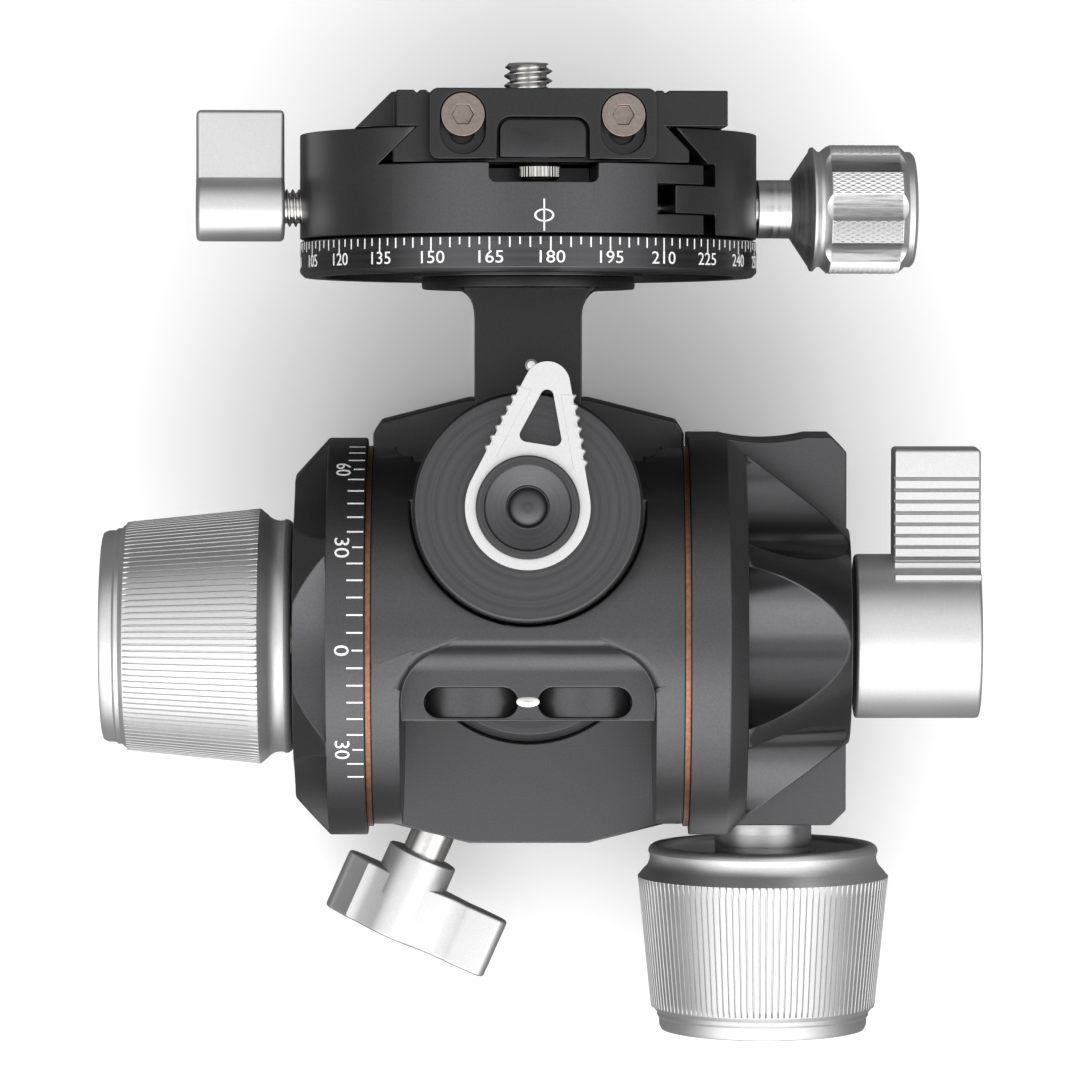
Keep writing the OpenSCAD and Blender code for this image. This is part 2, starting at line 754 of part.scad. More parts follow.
module worm_bush_front() {
    color(silver) worm_axis() {
        tube(shaft_r + bush_wall, shaft_r + run, worm_half_len + loose, box_half_y);
        tube(bush_boss_r, shaft_r + run, box_half_y, box_half_y + bush_boss_len);
    }
}
module worm_bush_rear() {
    color(bronze) worm_axis()
        tube(shaft_r + bush_wall, shaft_r + run, -worm_half_len - end_bush_len, -worm_half_len - loose);
}
module pan_brake_shoe() {
    color(bronze) difference() {
        lock_place() rod(lock_screw_r, 0, post_r + lock_shoe_len);
        rod(post_r + slide, 0, block_top);
    }
}

// Pan lock
module wing_shape(reach) {
    upper = [for (s = wing_outline_shares) [reach * s[0], wing_half_t * s[1]]];
    lower = [for (i = [len(upper) - 1:-1:0]) [upper[i][0], -upper[i][1]]];
    polygon(concat(upper, lower));
}
module pan_lock_knob() {
    color(silver) lock_place() translate([0, 0, lock_start]) difference() {
        union() {
            rod(lock_hub_r, 0, lock_neck_len + wing_len / 2);
            translate([0, 0, lock_neck_len]) rotate([0, 0, wing_turn]) {
                rod(lock_core_r, 0, wing_len);
                linear_extrude(wing_len) wing_shape(wing_long);
                linear_extrude(wing_len) mirror([1, 0]) wing_shape(wing_short);
            }
        }
        rod(lock_screw_r, -over, lock_neck_len);
    }
}
module pan_lock_screw() {
    color(steel) lock_place() rod(lock_screw_r, post_r + lock_shoe_len, lock_start + lock_neck_len);
}

// Tilt barrel and what turns with it
module waist_box(x, u0, u1, f0, f1) {
    translate([-x, -f1, u0]) cube([2 * x, f1 - f0, u1 - u0]);
}
module pocket_shape() {
    r = pocket_corner_r;
    w = waist_half_w;
    translate([-w, -barrel_r]) square([2 * w, barrel_r - pocket_top - r]);
    translate([r - w, -barrel_r]) square([2 * (w - r), barrel_r - pocket_top]);
    for (side = [-1, 1]) translate([side * (w - r), -pocket_top - r]) circle(r = r);
}
// Front pocket: its outline across the front, and the fillet along its top
module pocket_cut() {
    rise = barrel_r - pocket_top;
    intersection() {
        toward_front() translate([0, 0, pocket_face]) linear_extrude(barrel_r) pocket_shape();
        translate([-barrel_half_w, -pocket_face, 0]) rotate([90, 0, 90]) linear_extrude(2 * barrel_half_w) {
            translate([-barrel_r, -barrel_r]) square([barrel_r, rise - pocket_fillet_r]);
            translate([-barrel_r, -barrel_r]) square([barrel_r - pocket_fillet_r, rise]);
            translate([-pocket_fillet_r, -pocket_top - pocket_fillet_r]) circle(r = pocket_fillet_r);
        }
    }
}
// Slant from the milled top up to one flange's rim
module flange_slant() {
    translate([waist_half_w, -barrel_r, waist_top]) rotate([-90, 0, 0]) linear_extrude(2 * barrel_r)
        polygon([[-over, 0], [0, 0], [flange_chamfer, -flange_chamfer], [flange_chamfer, -barrel_r],
            [-over, -barrel_r]]);
}
module tilt_barrel() {
    color(black) stage() difference() {
        union() {
            toward_x() rod(barrel_r, -barrel_half_w, barrel_half_w);
            roll_centre() toward_front() rod(roll_axle_r + axle_boss_wall, rear_nut_h - rear_nut_face, cover_seat);
        }
        waist_box(waist_half_w, waist_top, barrel_r + over, -barrel_r, barrel_r);
        for (side = [0, 1]) mirror([side, 0, 0]) flange_slant();
        waist_box(waist_half_w, -barrel_r - over, -waist_bottom, -barrel_r, barrel_r);
        pocket_cut();
        for (side = [-1, 1]) toward_front()
            translate([side * (slot_len + slot_web) / 2, -slot_drop, pocket_face - slot_depth])
                linear_extrude(barrel_r) slot_shape(slot_len, slot_h);
        roll_centre() toward_front() {
            rod(cover_pocket_r, cover_seat, barrel_r + over);
            rod(cavity_r, -cavity_half_t, cavity_half_t);
            rod(roll_axle_r, -barrel_r, barrel_r);
            rod(rear_nut_r + slide, -barrel_r, rear_nut_h - rear_nut_face);
        }
        waist_box(cavity_r, roll_rise, barrel_r + over, -cavity_half_t, cavity_half_t);
        toward_x() rod(roll_worm_cavity_r, -barrel_half_w - over, roll_bush_end);
        for (side = [0, 1]) mirror([side, 0, 0]) toward_x()
            rod(axle_flange_r, barrel_half_w - flange_t, barrel_half_w + over);
        axle_screw_places() rod(axle_screw_r, -axle_screw_len, over);
    }
}
module axle_screw_places() {
    for (side = [0, 1], i = [0:3]) mirror([side, 0, 0]) toward_x() rotate(45 + 90 * i)
        translate([axle_screw_ring_r, 0, barrel_half_w]) children();
}
module left_axle() {
    color(steel) stage() difference() {
        mirror([1, 0, 0]) toward_x() {
            rod(axle_flange_r, barrel_half_w - flange_t, barrel_half_w);
            rod(axle_r, barrel_half_w - flange_t, taper_out - slide);
            rod(roll_worm_cavity_r, cavity_r + loose, barrel_half_w);
        }
        toward_x() rod(shaft_r + run, -taper_out - over, 0);
        axle_screw_places() rod(axle_screw_r, -axle_screw_len, over);
    }
}
module right_axle() {
    color(steel) stage() difference() {
        toward_x() {
            rod(axle_flange_r, barrel_half_w - flange_t, barrel_half_w);
            rod(axle_r, barrel_half_w, wheel_face);
            rod(wheel_seat_r, barrel_half_w, cover_out - slide);
        }
        axle_screw_places() rod(axle_screw_r, -axle_screw_len, over);
    }
}
module axle_screws() {
    color(steel) stage() axle_screw_places() rod(axle_screw_r, -axle_screw_len, 0);
}
module friction_rings() {
    color(bronze) stage() for (side = [0, 1]) mirror([side, 0, 0]) toward_x()
        tube(ring_r, ring_inner_r, barrel_half_w, barrel_half_w + ring_t);
}
module tilt_wheel() {
    color(bronze) translate([worm_x, 0, axis_h]) rotate([90, 0, 90])
        worm_wheel(tilt_wheel_r, tilt_teeth, tilt_worm_r, wheel_seat_r, tooth_w / 2);
}
module front_cover() {
    color(black) stage() roll_centre() toward_front() difference() {
        rod(cover_disc_r, cover_seat, front_face);
        rod(roll_axle_r, 0, front_face + over);
        tube(cover_groove_r + cover_groove_w, cover_groove_r, front_face - cover_groove_depth,
            front_face + over);
    }
}
module roll_axle() {
    color(steel) stage() roll_centre() toward_front() {
        rod(roll_axle_r, -rear_nut_face, front_face);
        rod(rear_nut_r, -rear_nut_face, rear_nut_h - rear_nut_face);
    }
}
module roll_worm_bush() {
    color(bronze) stage() toward_x()
        tube(roll_worm_cavity_r, shaft_r + run, roll_bush_end - roll_bush_len, roll_bush_end);
}

// Tilt drive
module tilt_worm() {
    color(steel) worm_axis() worm(tilt_worm_r, pitch(tilt_wheel_r, tilt_teeth), worm_half_len, shaft_r);
}
module tilt_shaft() {
    color(steel) worm_axis() rod(shaft_r, loose - worm_half_len - end_bush_len, tilt_knob_start + cup_depth);
}
module tilt_knob() {
    color(silver) worm_axis() translate([0, 0, tilt_knob_start]) drive_knob();
}

// Tilt release lever
module tilt_release_lever() {
    color(silver) tilt_centre() difference() {
        union() {
            toward_x() rod(side_lever_r, cover_out + lever_seat_gap, side_end);
            translate([side_start, 0, -side_arm_t / 2]) cube([side_arm_w, side_arm_len, side_arm_t]);
        }
        toward_x() {
            rod(side_bolt_r, cover_out, side_end + over);
            rod(side_bolt_head_r, side_end - side_bolt_head_h, side_end + over);
        }
        for (i = [0:side_ridges - 1])
            translate([side_start - over, side_ridge_start + i * side_ridge_pitch, side_arm_t / 2])
                rotate([45, 0, 0]) cube([side_arm_w + 2 * over, side_ridge_h, side_ridge_h]);
    }
}
module tilt_lever_screw() {
    color(steel) tilt_centre() toward_x() translate([0, 0, side_end])
        cap_screw(side_bolt_r, side_end - side_bolt_head_h - cover_out - lever_seat_gap, side_bolt_head_r,
            side_bolt_head_h);
}

// Roll body
module neck_outline() {
    rise = ring_base - flange_h - flare_start;
    flare = flare_half_w - neck_half_w;
    right = [for (t = [0:15:90]) [neck_half_w + flare * (1 - cos(t)), flare_start + rise * sin(t)]];
    left = [for (i = [len(right) - 1:-1:0]) [-right[i][0], right[i][1]]];
    polygon(concat([[-neck_half_w, roll_rise], [neck_half_w, roll_rise]], right,
        [[flare_half_w, ring_base], [-flare_half_w, ring_base]], left));
}
module neck() {
    color(black) stage() difference() {
        union() {
            roll_centre() toward_front() rod(roll_hub_r, -neck_half_t, neck_half_t);
            toward_front() translate([0, 0, -neck_half_t]) linear_extrude(2 * neck_half_t) neck_outline();
            rod(neck_flange_r, ring_base - flange_h, ring_base);
            rod(clamp_post_r, ring_base, post_top);
        }
        roll_centre() toward_front() rod(roll_axle_r + run, -neck_half_t - over, neck_half_t + over);
        rod(retainer_bolt_r, post_top - retainer_bolt_len, post_top + over);
    }
}
module roll_wheel() {
    reach = 2 * roll_wheel_r;
    color(bronze) stage() roll_centre() difference() {
        rotate([90, 0, 0]) worm_wheel(roll_wheel_r, roll_teeth, roll_worm_r, roll_hub_r, tooth_w / 2);
        translate([-neck_half_w, -tooth_w, 0]) cube([2 * neck_half_w, 2 * tooth_w, reach]);
        translate([-reach, -tooth_w, roll_hub_r / 2]) cube([2 * reach, 2 * tooth_w, reach]);
    }
}
module scale_ring() {
    recess = ring_base + scale_recess;
    color(black) stage() rotate_extrude() polygon([[clamp_post_r, ring_base], [scale_floor_r, ring_base],
        [scale_floor_r, recess], [scale_lip_r, recess], [scale_lip_r, ring_base],
        [clamp_r - scale_chamfer, ring_base], [clamp_r, ring_base + scale_chamfer],
        [clamp_r, ring_base + scale_h], [clamp_post_r, ring_base + scale_h]]);
}
module post_retainer() {
    color(steel) stage() difference() {
        union() {
            rod(retainer_r, post_top, post_top + retainer_h);
            rod(retainer_bolt_r, post_top - retainer_bolt_len, post_top);
        }
        translate([0, 0, post_top - retainer_h]) cylinder(r = retainer_socket_r, h = 3 * retainer_h, $fn = 6);
    }
}

// Roll drive
module roll_worm() {
    color(steel) stage() rotate([90, 0, 90])
        worm(roll_worm_r, pitch(roll_wheel_r, roll_teeth), worm_half_len, roll_core_r);
}
module roll_shaft() {
    color(steel) stage() toward_x() {
        rod(shaft_r, -roll_knob_start - cup_depth, -worm_half_len);
        rod(roll_core_r, -worm_half_len, worm_half_len);
        rod(shaft_r, worm_half_len, roll_bush_end);
    }
}
module roll_knob() {
    color(silver) stage() mirror([1, 0, 0]) toward_x() translate([0, 0, roll_knob_start]) drive_knob();
}

// Roll release lever
module tangent_web(r0, r1, len) {
    a = asin((r0 - r1) / len);
    polygon([[r0 * cos(a), r0 * sin(a)], [r1 * cos(a), len + r1 * sin(a)], [-r1 * cos(a), len + r1 * sin(a)],
        [-r0 * cos(a), r0 * sin(a)]]);
}
// Saw teeth along the lever's right or left flank; a is the flank's lean
module lever_saw(side, a) {
    flank = lever_arm * cos(a);
    step = saw_run_share * flank / lever_teeth;
    start = saw_start_share * flank;
    saw = [for (i = [0:lever_teeth - 1], k = [0, 1]) [k * lever_tooth_h, start + (i + k) * step]];
    outline = concat([[-lever_tip_r, start]], saw, [[-lever_tip_r, start + lever_teeth * step]]);
    last = len(outline) - 1;
    polygon([for (i = [0:last]) let (q = outline[side > 0 ? i : last - i], x = lever_ring_r + q[0])
        [side * (x * cos(a) - q[1] * sin(a)), x * sin(a) + q[1] * cos(a)]]);
}
module roll_release_lever() {
    color(silver) stage() roll_centre() toward_front() rotate([0, 0, -lever_angle])
        translate([0, 0, front_face + lever_gap]) linear_extrude(lever_t) difference() {
            union() {
                circle(r = lever_ring_r);
                translate([0, lever_arm]) {
                    circle(r = lever_tip_r);
                    rotate(nub_angle) translate([lever_tip_r + nub_r / 2, 0]) circle(r = nub_r);
                }
                tangent_web(lever_ring_r, lever_tip_r, lever_arm);
                for (side = [-1, 1]) lever_saw(side, asin((lever_ring_r - lever_tip_r) / lever_arm));
            }
            circle(r = lever_cap_r + run);
            lever_window();
        }
}
// Rounded triangular window in the lever's arm
module lever_window() {
    hull() {
        for (side = [-1, 1]) translate([side * window_half_w, lever_ring_r + window_rise])
            circle(r = window_r, $fn = window_sides);
        translate([0, lever_arm]) circle(r = window_r, $fn = window_sides);
    }
}
module roll_lever_cap() {
    cap_face = front_face + lever_gap + lever_t + cap_rise;
    color(black) stage() roll_centre() toward_front() rotate_extrude() polygon([[0, front_face + lever_gap],
        [lever_cap_r, front_face + lever_gap], [lever_cap_r, cap_face], [cap_dish_r, cap_face],
        [cap_dimple_r, cap_face - cap_dish], [0, cap_face - cap_dish - cap_dimple]]);
}

// Panning clamp
module clamp_profile() {
    flank = dove_half + slide;
    polygon([[-clamp_r, clamp_base], [jaw_face, clamp_base], [jaw_face, tongue_u - tongue_h / 2 - tongue_gap],
        [jaw_face - slot_reach, tongue_u - tongue_h / 2 - tongue_gap],
        [jaw_face - slot_reach, tongue_u + tongue_h / 2 + tongue_gap],
        [jaw_face, tongue_u + tongue_h / 2 + tongue_gap], [jaw_face, floor_u],
        [-flank - channel_depth, floor_u], [-flank, clamp_top], [-clamp_r, clamp_top]]);
}
module across_channel() {
    rotate([90, 0, 0]) translate([0, 0, -clamp_r]) linear_extrude(2 * clamp_r) children();
}
module clamp_body() {
    color(black) clamp_stage() difference() {
        intersection() {
            across_channel() clamp_profile();
            rod(clamp_r, clamp_base - over, clamp_top + over);
        }
        rod(clamp_post_r + run, clamp_base - over, post_top + over);
        rod(retainer_r + loose, post_top - slide, floor_u + over);
        for (side = [0, 1]) mirror([0, side, 0])
            translate([0, pin_well_start + clamp_r, floor_u - pin_well_depth]) rotate([90, 0, 0])
                linear_extrude(clamp_r)
                    rounded_plate(2 * pin_well_half_w, 2 * pin_well_depth, pin_well_corner_r);
        translate([0, 0, screw_u]) toward_x() {
            rod(clamp_screw_r + run, screw_tip - screw_way, clamp_r);
            rod(tab_screw_r + run, -clamp_r - over, 0);
        }
    }
}
module top_brake_shoe() {
    color(bronze) clamp_stage() difference() {
        translate([0, 0, screw_u]) toward_x() rod(tab_screw_r, -clamp_post_r - top_shoe_len, 0);
        rod(clamp_post_r + slide, clamp_base, clamp_top);
    }
}
module top_lock_tab() {
    color(silver) clamp_stage() translate([-clamp_r - tab_gap - tab_w, 0, screw_u]) difference() {
        union() {
            toward_x() rod(tab_r, 0, tab_w);
            rotate([90, 0, 90]) linear_extrude(tab_w) polygon([[-tab_root_half_t, 0], [tab_root_half_t, 0],
                [tab_root_half_t, tab_root_rise], [tab_tip_half_t, tab_rise], [-tab_tip_half_t, tab_rise],
                [-tab_root_half_t, tab_root_rise]]);
        }
        toward_x() rod(tab_screw_r, tab_w / 2, tab_w + over);
    }
}
module top_lock_screw() {
    color(steel) clamp_stage() translate([0, 0, screw_u]) toward_x()
        rod(tab_screw_r, -clamp_r - tab_gap - tab_w / 2, -clamp_post_r - top_shoe_len);
}
module jaw_profile() {
    top = dove_half + jaw_open;
    low = floor_u + jaw_lift;
    polygon([[jaw_in, clamp_base], [clamp_r, clamp_base], [clamp_r, clamp_top], [top, clamp_top],
        [top + clamp_top - low, low], [jaw_in, low], [jaw_in, tongue_u + tongue_h / 2],
        [jaw_in - tongue_len, tongue_u + tongue_h / 2], [jaw_in - tongue_len, tongue_u - tongue_h / 2],
        [jaw_in, tongue_u - tongue_h / 2]]);
}
module moving_jaw() {
    color(black) clamp_stage() difference() {
        intersection() {
            across_channel() jaw_profile();
            rod(clamp_r, clamp_base - over, clamp_top + over);
        }
        translate([0, 0, screw_u]) toward_x() rod(clamp_screw_r + run, 0, clamp_r + over);
    }
}
module knob_axis() {
    clamp_stage() translate([0, 0, screw_u]) toward_x() children();
}
module clamp_screw() {
    color(steel) knob_axis() rod(clamp_screw_r, screw_tip, grip_start);
}
module clamp_collar() {
    rim = clamp_knob_r - grip_chamfer / 2;
    color(silver) knob_axis() difference() {
        rotate_extrude() polygon([[0, collar_start], [collar_shaft_r, collar_start],
            [collar_shaft_r, cone_start], [rim, cone_start + cone_len], [0, cone_start + cone_len]]);
        rod(clamp_screw_r, 0, grip_start);
    }
}
module clamp_knob() {
    back = cone_start + cone_len;
    small = clamp_knob_r - grip_chamfer;
    color(silver) knob_axis() difference() {
        rotate_extrude() polygon([[0, back], [clamp_knob_r - grip_chamfer / 2, back], [small, grip_start],
            [clamp_knob_r, grip_start + grip_chamfer], [clamp_knob_r, grip_end - grip_chamfer],
            [small, grip_end], [small, grip_end + grip_cap_len], [0, grip_end + grip_cap_len]]);
        rod(clamp_screw_r, 0, grip_start);
        for (i = [0:scallops - 1]) rotate(i * 360 / scallops)
            translate([clamp_knob_r + scallop_r - scallop_depth, 0, 0]) rod(scallop_r, grip_start, grip_end);
    }
}

// Camera plate
module plate_profile() {
    shoulder = platform_base - (dove_max_half - dove_half);
    polygon([[-dove_max_half, plate_base], [dove_max_half, plate_base], [dove_max_half, shoulder],
        [dove_half, platform_base], [platform_right, platform_base], [platform_right, plate_top],
        [platform_h - platform_left, plate_top], [-platform_left, platform_base], [-dove_half, platform_base],
        [-dove_max_half, shoulder]]);
}
module camera_plate() {
    color(black) clamp_stage() difference() {
        rotate([90, 0, 0]) translate([0, 0, -plate_front]) linear_extrude(plate_len) plate_profile();
        translate([-platform_left - over, -plate_front - over, platform_base])
            cube([corner_cut + over, corner_cut + over, platform_h + over]);
        for (side = [-1, 1], i = [0:plate_ribs - 1])
            translate([side * (dove_half - i * rib_pitch), 0, plate_top]) rotate([0, 45, 0])
                cube([rib_depth * sqrt(2), plate_len + 2 * over, rib_depth * sqrt(2)], center = true);
        rod(screw_neck_r, plate_base - over, plate_top + over);
        rod(screw_head_r + loose, plate_base - over, plate_base + screw_head_h + loose);
        for (side = [0, 1]) mirror([0, side, 0]) translate([0, -stop_y, 0])
            rod(stop_shank_r, plate_base - over, plate_base + stop_shank_len);
        for (side = [-1, 1]) translate([side * lip_screw_x, 0, lip_screw_u]) toward_front()
            rod(lip_shank_r, plate_front - lip_shank_len, plate_front + over);
    }
}
module stop_screws() {
    color(steel) clamp_stage() for (side = [0, 1]) mirror([0, side, 0])
        translate([0, -stop_y, plate_base - stop_head_h]) mirror([0, 0, 1])
            cap_screw(stop_shank_r, stop_shank_len, stop_head_r, stop_head_h);
}
module lip_screws() {
    head_face = plate_front + slide + lip_seat_t + lip_head_h;
    shank = slide + lip_seat_t + lip_shank_len;
    color(steel) clamp_stage() for (side = [-1, 1]) translate([side * lip_screw_x, 0, lip_screw_u])
        toward_front() translate([0, 0, head_face]) cap_screw(lip_shank_r, shank, lip_head_r, lip_head_h);
}
module lip_slot(r) {
    travel = lip_travel + slide;
    circle(r = r);
    translate([-r, -travel]) square([2 * r, travel]);
    translate([0, -travel]) circle(r = r);
}
// Plate of the given width and height with round corners, its low edge's middle at the origin
module rounded_plate(w, h, r) {
    translate([-w / 2, r]) square([w, h - 2 * r]);
    translate([r - w / 2, 0]) square([w - 2 * r, h]);
    for (x = [-1, 1], y = [r, h - r]) translate([x * (w / 2 - r), y]) circle(r = r);
}
module plate_lip() {
    low = plate_base + plate_gap;
    high = plate_top + slide;
    color(black) clamp_stage() toward_front() translate([0, 0, plate_front + slide / 2]) difference() {
        translate([0, low]) linear_extrude(lip_t) rounded_plate(2 * lip_half_w, high - low, lip_corner_r);
        for (side = [-1, 1]) translate([side * lip_screw_x, lip_screw_u, 0]) {
            translate([0, 0, -over]) linear_extrude(lip_t + 2 * over) lip_slot(lip_shank_r + slide);
            translate([0, 0, lip_seat_t]) linear_extrude(lip_t) lip_slot(lip_head_r + slide);
        }
        translate([0, low - arch_h, -over]) linear_extrude(lip_t + 2 * over)
            rounded_plate(2 * arch_half_w, 2 * arch_h, arch_corner_r);
    }
}
module camera_screw() {
    color(steel) clamp_stage() difference() {
        union() {
            rod(screw_head_r, plate_base, plate_base + screw_head_h);
            rod(screw_shank_r, plate_base, plate_top);
            rod(stud_r, plate_top, plate_top + stud_h);
        }
        translate([-screw_head_r - over, -coin_slot_w / 2, plate_base - over])
            cube([2 * (screw_head_r + over), coin_slot_w, coin_slot_depth + over]);
    }
}

tripod_foot();
pan_hub();
hub_screws();
pan_block();
pan_glide_ring();
left_cheek();
right_housing();
gear_cover();
left_bush();
right_bush();
worm_bush_front();
worm_bush_rear();
pan_brake_shoe();
cheek_screws();
pan_lock_knob();
pan_lock_screw();
tilt_barrel();
left_axle();
right_axle();
axle_screws();
friction_rings();
tilt_wheel();
front_cover();
roll_axle();
roll_worm_bush();
tilt_worm();
tilt_shaft();
tilt_knob();
tilt_release_lever();
tilt_lever_screw();
neck();
roll_wheel();
scale_ring();
post_retainer();
roll_worm();
roll_shaft();
roll_knob();
roll_release_lever();
roll_lever_cap();
clamp_body();
top_brake_shoe();
top_lock_tab();
top_lock_screw();
moving_jaw();
clamp_screw();
clamp_knob();
clamp_collar();
camera_plate();
stop_screws();
lip_screws();
plate_lip();
camera_screw();
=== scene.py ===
"""Looks of the geared tripod head: its pieces, finishes and stage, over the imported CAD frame."""

import json
from contextlib import contextmanager
from math import asin, ceil, cos, degrees, pi, radians, sin, sqrt

import bmesh
import bpy
from bpy.props import FloatProperty, FloatVectorProperty, IntProperty, PointerProperty
from mathutils import Matrix, Vector


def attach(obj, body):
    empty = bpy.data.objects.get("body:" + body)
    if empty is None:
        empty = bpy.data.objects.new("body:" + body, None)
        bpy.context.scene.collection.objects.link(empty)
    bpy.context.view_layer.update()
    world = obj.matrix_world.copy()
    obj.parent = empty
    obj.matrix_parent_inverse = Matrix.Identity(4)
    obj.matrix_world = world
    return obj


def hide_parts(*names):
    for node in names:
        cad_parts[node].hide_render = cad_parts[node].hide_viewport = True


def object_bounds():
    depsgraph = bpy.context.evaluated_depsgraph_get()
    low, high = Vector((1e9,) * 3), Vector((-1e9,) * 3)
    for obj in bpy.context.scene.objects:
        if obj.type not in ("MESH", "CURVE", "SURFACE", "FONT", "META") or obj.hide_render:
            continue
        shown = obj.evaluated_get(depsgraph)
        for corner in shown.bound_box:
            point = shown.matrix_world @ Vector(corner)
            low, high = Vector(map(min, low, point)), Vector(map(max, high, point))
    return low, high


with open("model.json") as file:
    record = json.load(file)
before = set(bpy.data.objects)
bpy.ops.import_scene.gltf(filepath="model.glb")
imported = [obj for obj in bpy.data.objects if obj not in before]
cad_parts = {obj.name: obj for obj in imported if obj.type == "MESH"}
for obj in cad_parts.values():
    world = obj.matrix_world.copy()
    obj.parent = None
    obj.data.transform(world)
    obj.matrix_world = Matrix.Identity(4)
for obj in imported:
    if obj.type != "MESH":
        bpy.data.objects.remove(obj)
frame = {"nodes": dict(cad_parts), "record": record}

bl_info = {
    "name": "Geared Tripod Head",
    "version": (1, 0, 0),
    "blender": (4, 5, 0),
    "location": "View3D > Sidebar > Tripod Head",
    "description": "Models the pieces and finishes of a geared tripod head over its CAD frame",
    "category": "Add Mesh",
}

MM = 0.001
CAD_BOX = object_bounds()
BODY_OF = {node: body for body, nodes in frame["record"]["behaviour"]["bodies"].items() for node in nodes}
SLOT_OF = {part["node"]: part["material_slot"] for part in frame["record"]["subparts"]}


def moved(x, y, z):
    """A shift in mm."""
    return Matrix.Translation((x * MM, y * MM, z * MM))


def spun(angle, axis):
    """A turn in degrees about X, Y or Z."""
    return Matrix.Rotation(radians(angle), 4, axis)


def raised(place, z):
    """The same place, z mm further along its axis."""
    return place @ moved(0, 0, z)


# Where the axes lie in the photographed pose, in mm and degrees
TILT_HEIGHT, TILT_ANGLE = 46, -93
CLAMP_ANGLE = 4
ROLL_RISE = 17
TILT_WORM_X, TILT_WORM_HEIGHT = 31.45, 28
PAN_LOCK_HEIGHT, PAN_LOCK_ANGLE = 13.6, -24
SIDE_SCREW_RISE = 56.2

# Places of the head's own frames. In each, z runs along the part's axis.
TOWARD_X = spun(90, "Y")
TOWARD_FRONT = spun(90, "X")
TILT_CENTRE = moved(0, 0, TILT_HEIGHT)
STAGE = TILT_CENTRE @ spun(TILT_ANGLE, "X")
CLAMP = STAGE @ spun(CLAMP_ANGLE, "Z")
ROLL_AXIS = raised(STAGE, ROLL_RISE) @ TOWARD_FRONT
TILT_DRIVE = moved(TILT_WORM_X, 0, TILT_WORM_HEIGHT) @ TOWARD_FRONT
ROLL_DRIVE = STAGE @ spun(-90, "Y")
PAN_LOCK = moved(0, 0, PAN_LOCK_HEIGHT) @ spun(PAN_LOCK_ANGLE, "Z") @ TOWARD_FRONT
JAW_SCREW = raised(CLAMP, SIDE_SCREW_RISE) @ TOWARD_X

# ------------------------ bench

# Vertices closer than this are one
TOUCHING = 0.002 * MM
# Faces that meet within this many degrees are one flat face of the CAD model
FLAT = 0.5
# Edges under this many degrees are shaded smooth
SMOOTH = 32


def deselect():
    """Object mode, with nothing selected."""
    if bpy.context.mode != "OBJECT":
        bpy.ops.object.mode_set(mode="OBJECT")
    bpy.ops.object.select_all(action="DESELECT")


def pick(*pieces):
    """Selects these pieces alone, the first of them active."""
    deselect()
    for piece in pieces:
        piece.select_set(True)
    bpy.context.view_layer.objects.active = pieces[0]


@contextmanager
def editing(piece, select="DESELECT"):
    """Edit mode on one piece, with nothing or all of it selected."""
    pick(piece)
    bpy.ops.object.mode_set(mode="EDIT")
    bpy.ops.mesh.select_mode(type="VERT")
    bpy.ops.mesh.select_all(action=select)
    yield bmesh.from_edit_mesh(piece.data)
    bpy.ops.object.mode_set(mode="OBJECT")


def start(name):
    """The piece just made, under its name."""
    piece = bpy.context.object
    piece.name = name
    piece.data.name = name
    return piece


def merge(piece):
    """Merges a piece's doubles and turns its faces outwards."""
    with editing(piece, "SELECT"):
        bpy.ops.mesh.remove_doubles(threshold=TOUCHING)
        bpy.ops.mesh.dissolve_degenerate(threshold=TOUCHING)
        bpy.ops.mesh.select_all(action="SELECT")
        bpy.ops.mesh.normals_make_consistent(inside=False)


def work(piece, kind, **settings):
    """Applies one modifier to a piece."""
    pick(piece)
    modifier = piece.modifiers.new(kind.title(), kind)
    for setting, value in settings.items():
        setattr(modifier, setting, value)
    bpy.ops.object.modifier_apply(modifier=modifier.name)
    return piece


def break_edges(piece, width, segments=2, angle=30):
    """Rounds every edge sharper than the angle by a width in mm."""
    return work(piece, "BEVEL", width=width * MM, segments=segments, limit_method="ANGLE",
                angle_limit=radians(angle), use_clamp_overlap=False)


def combine(piece, operation, *others):
    """Cuts, joins or trims a piece with others, which are used up."""
    for other in others:
        work(piece, "BOOLEAN", operation=operation, solver="EXACT", object=other)
        bpy.data.objects.remove(other)
    return piece


def cut_away(piece, *cutters):
    return combine(piece, "DIFFERENCE", *cutters)


def gather(name, *pieces):
    """Joins loose pieces into one object."""
    pick(*pieces)
    if len(pieces) > 1:
        bpy.ops.object.join()
    return start(name)


def settle(piece, place):
    """Moves a piece into its place, which goes into its mesh."""
    pick(piece)
    piece.matrix_world = place
    bpy.ops.object.transform_apply()
    return piece


def arc(x, y, radius, start_angle, end_angle, steps):
    """Points of an arc in mm, its angles in degrees from +x."""
    angles = [radians(start_angle + (end_angle - start_angle) * i / steps) for i in range(steps + 1)]
    return [(x + radius * cos(a), y + radius * sin(a)) for a in angles]


def arcs(*curves):
    """Points of several arcs, one after another."""
    return [point for curve in curves for point in arc(*curve)]


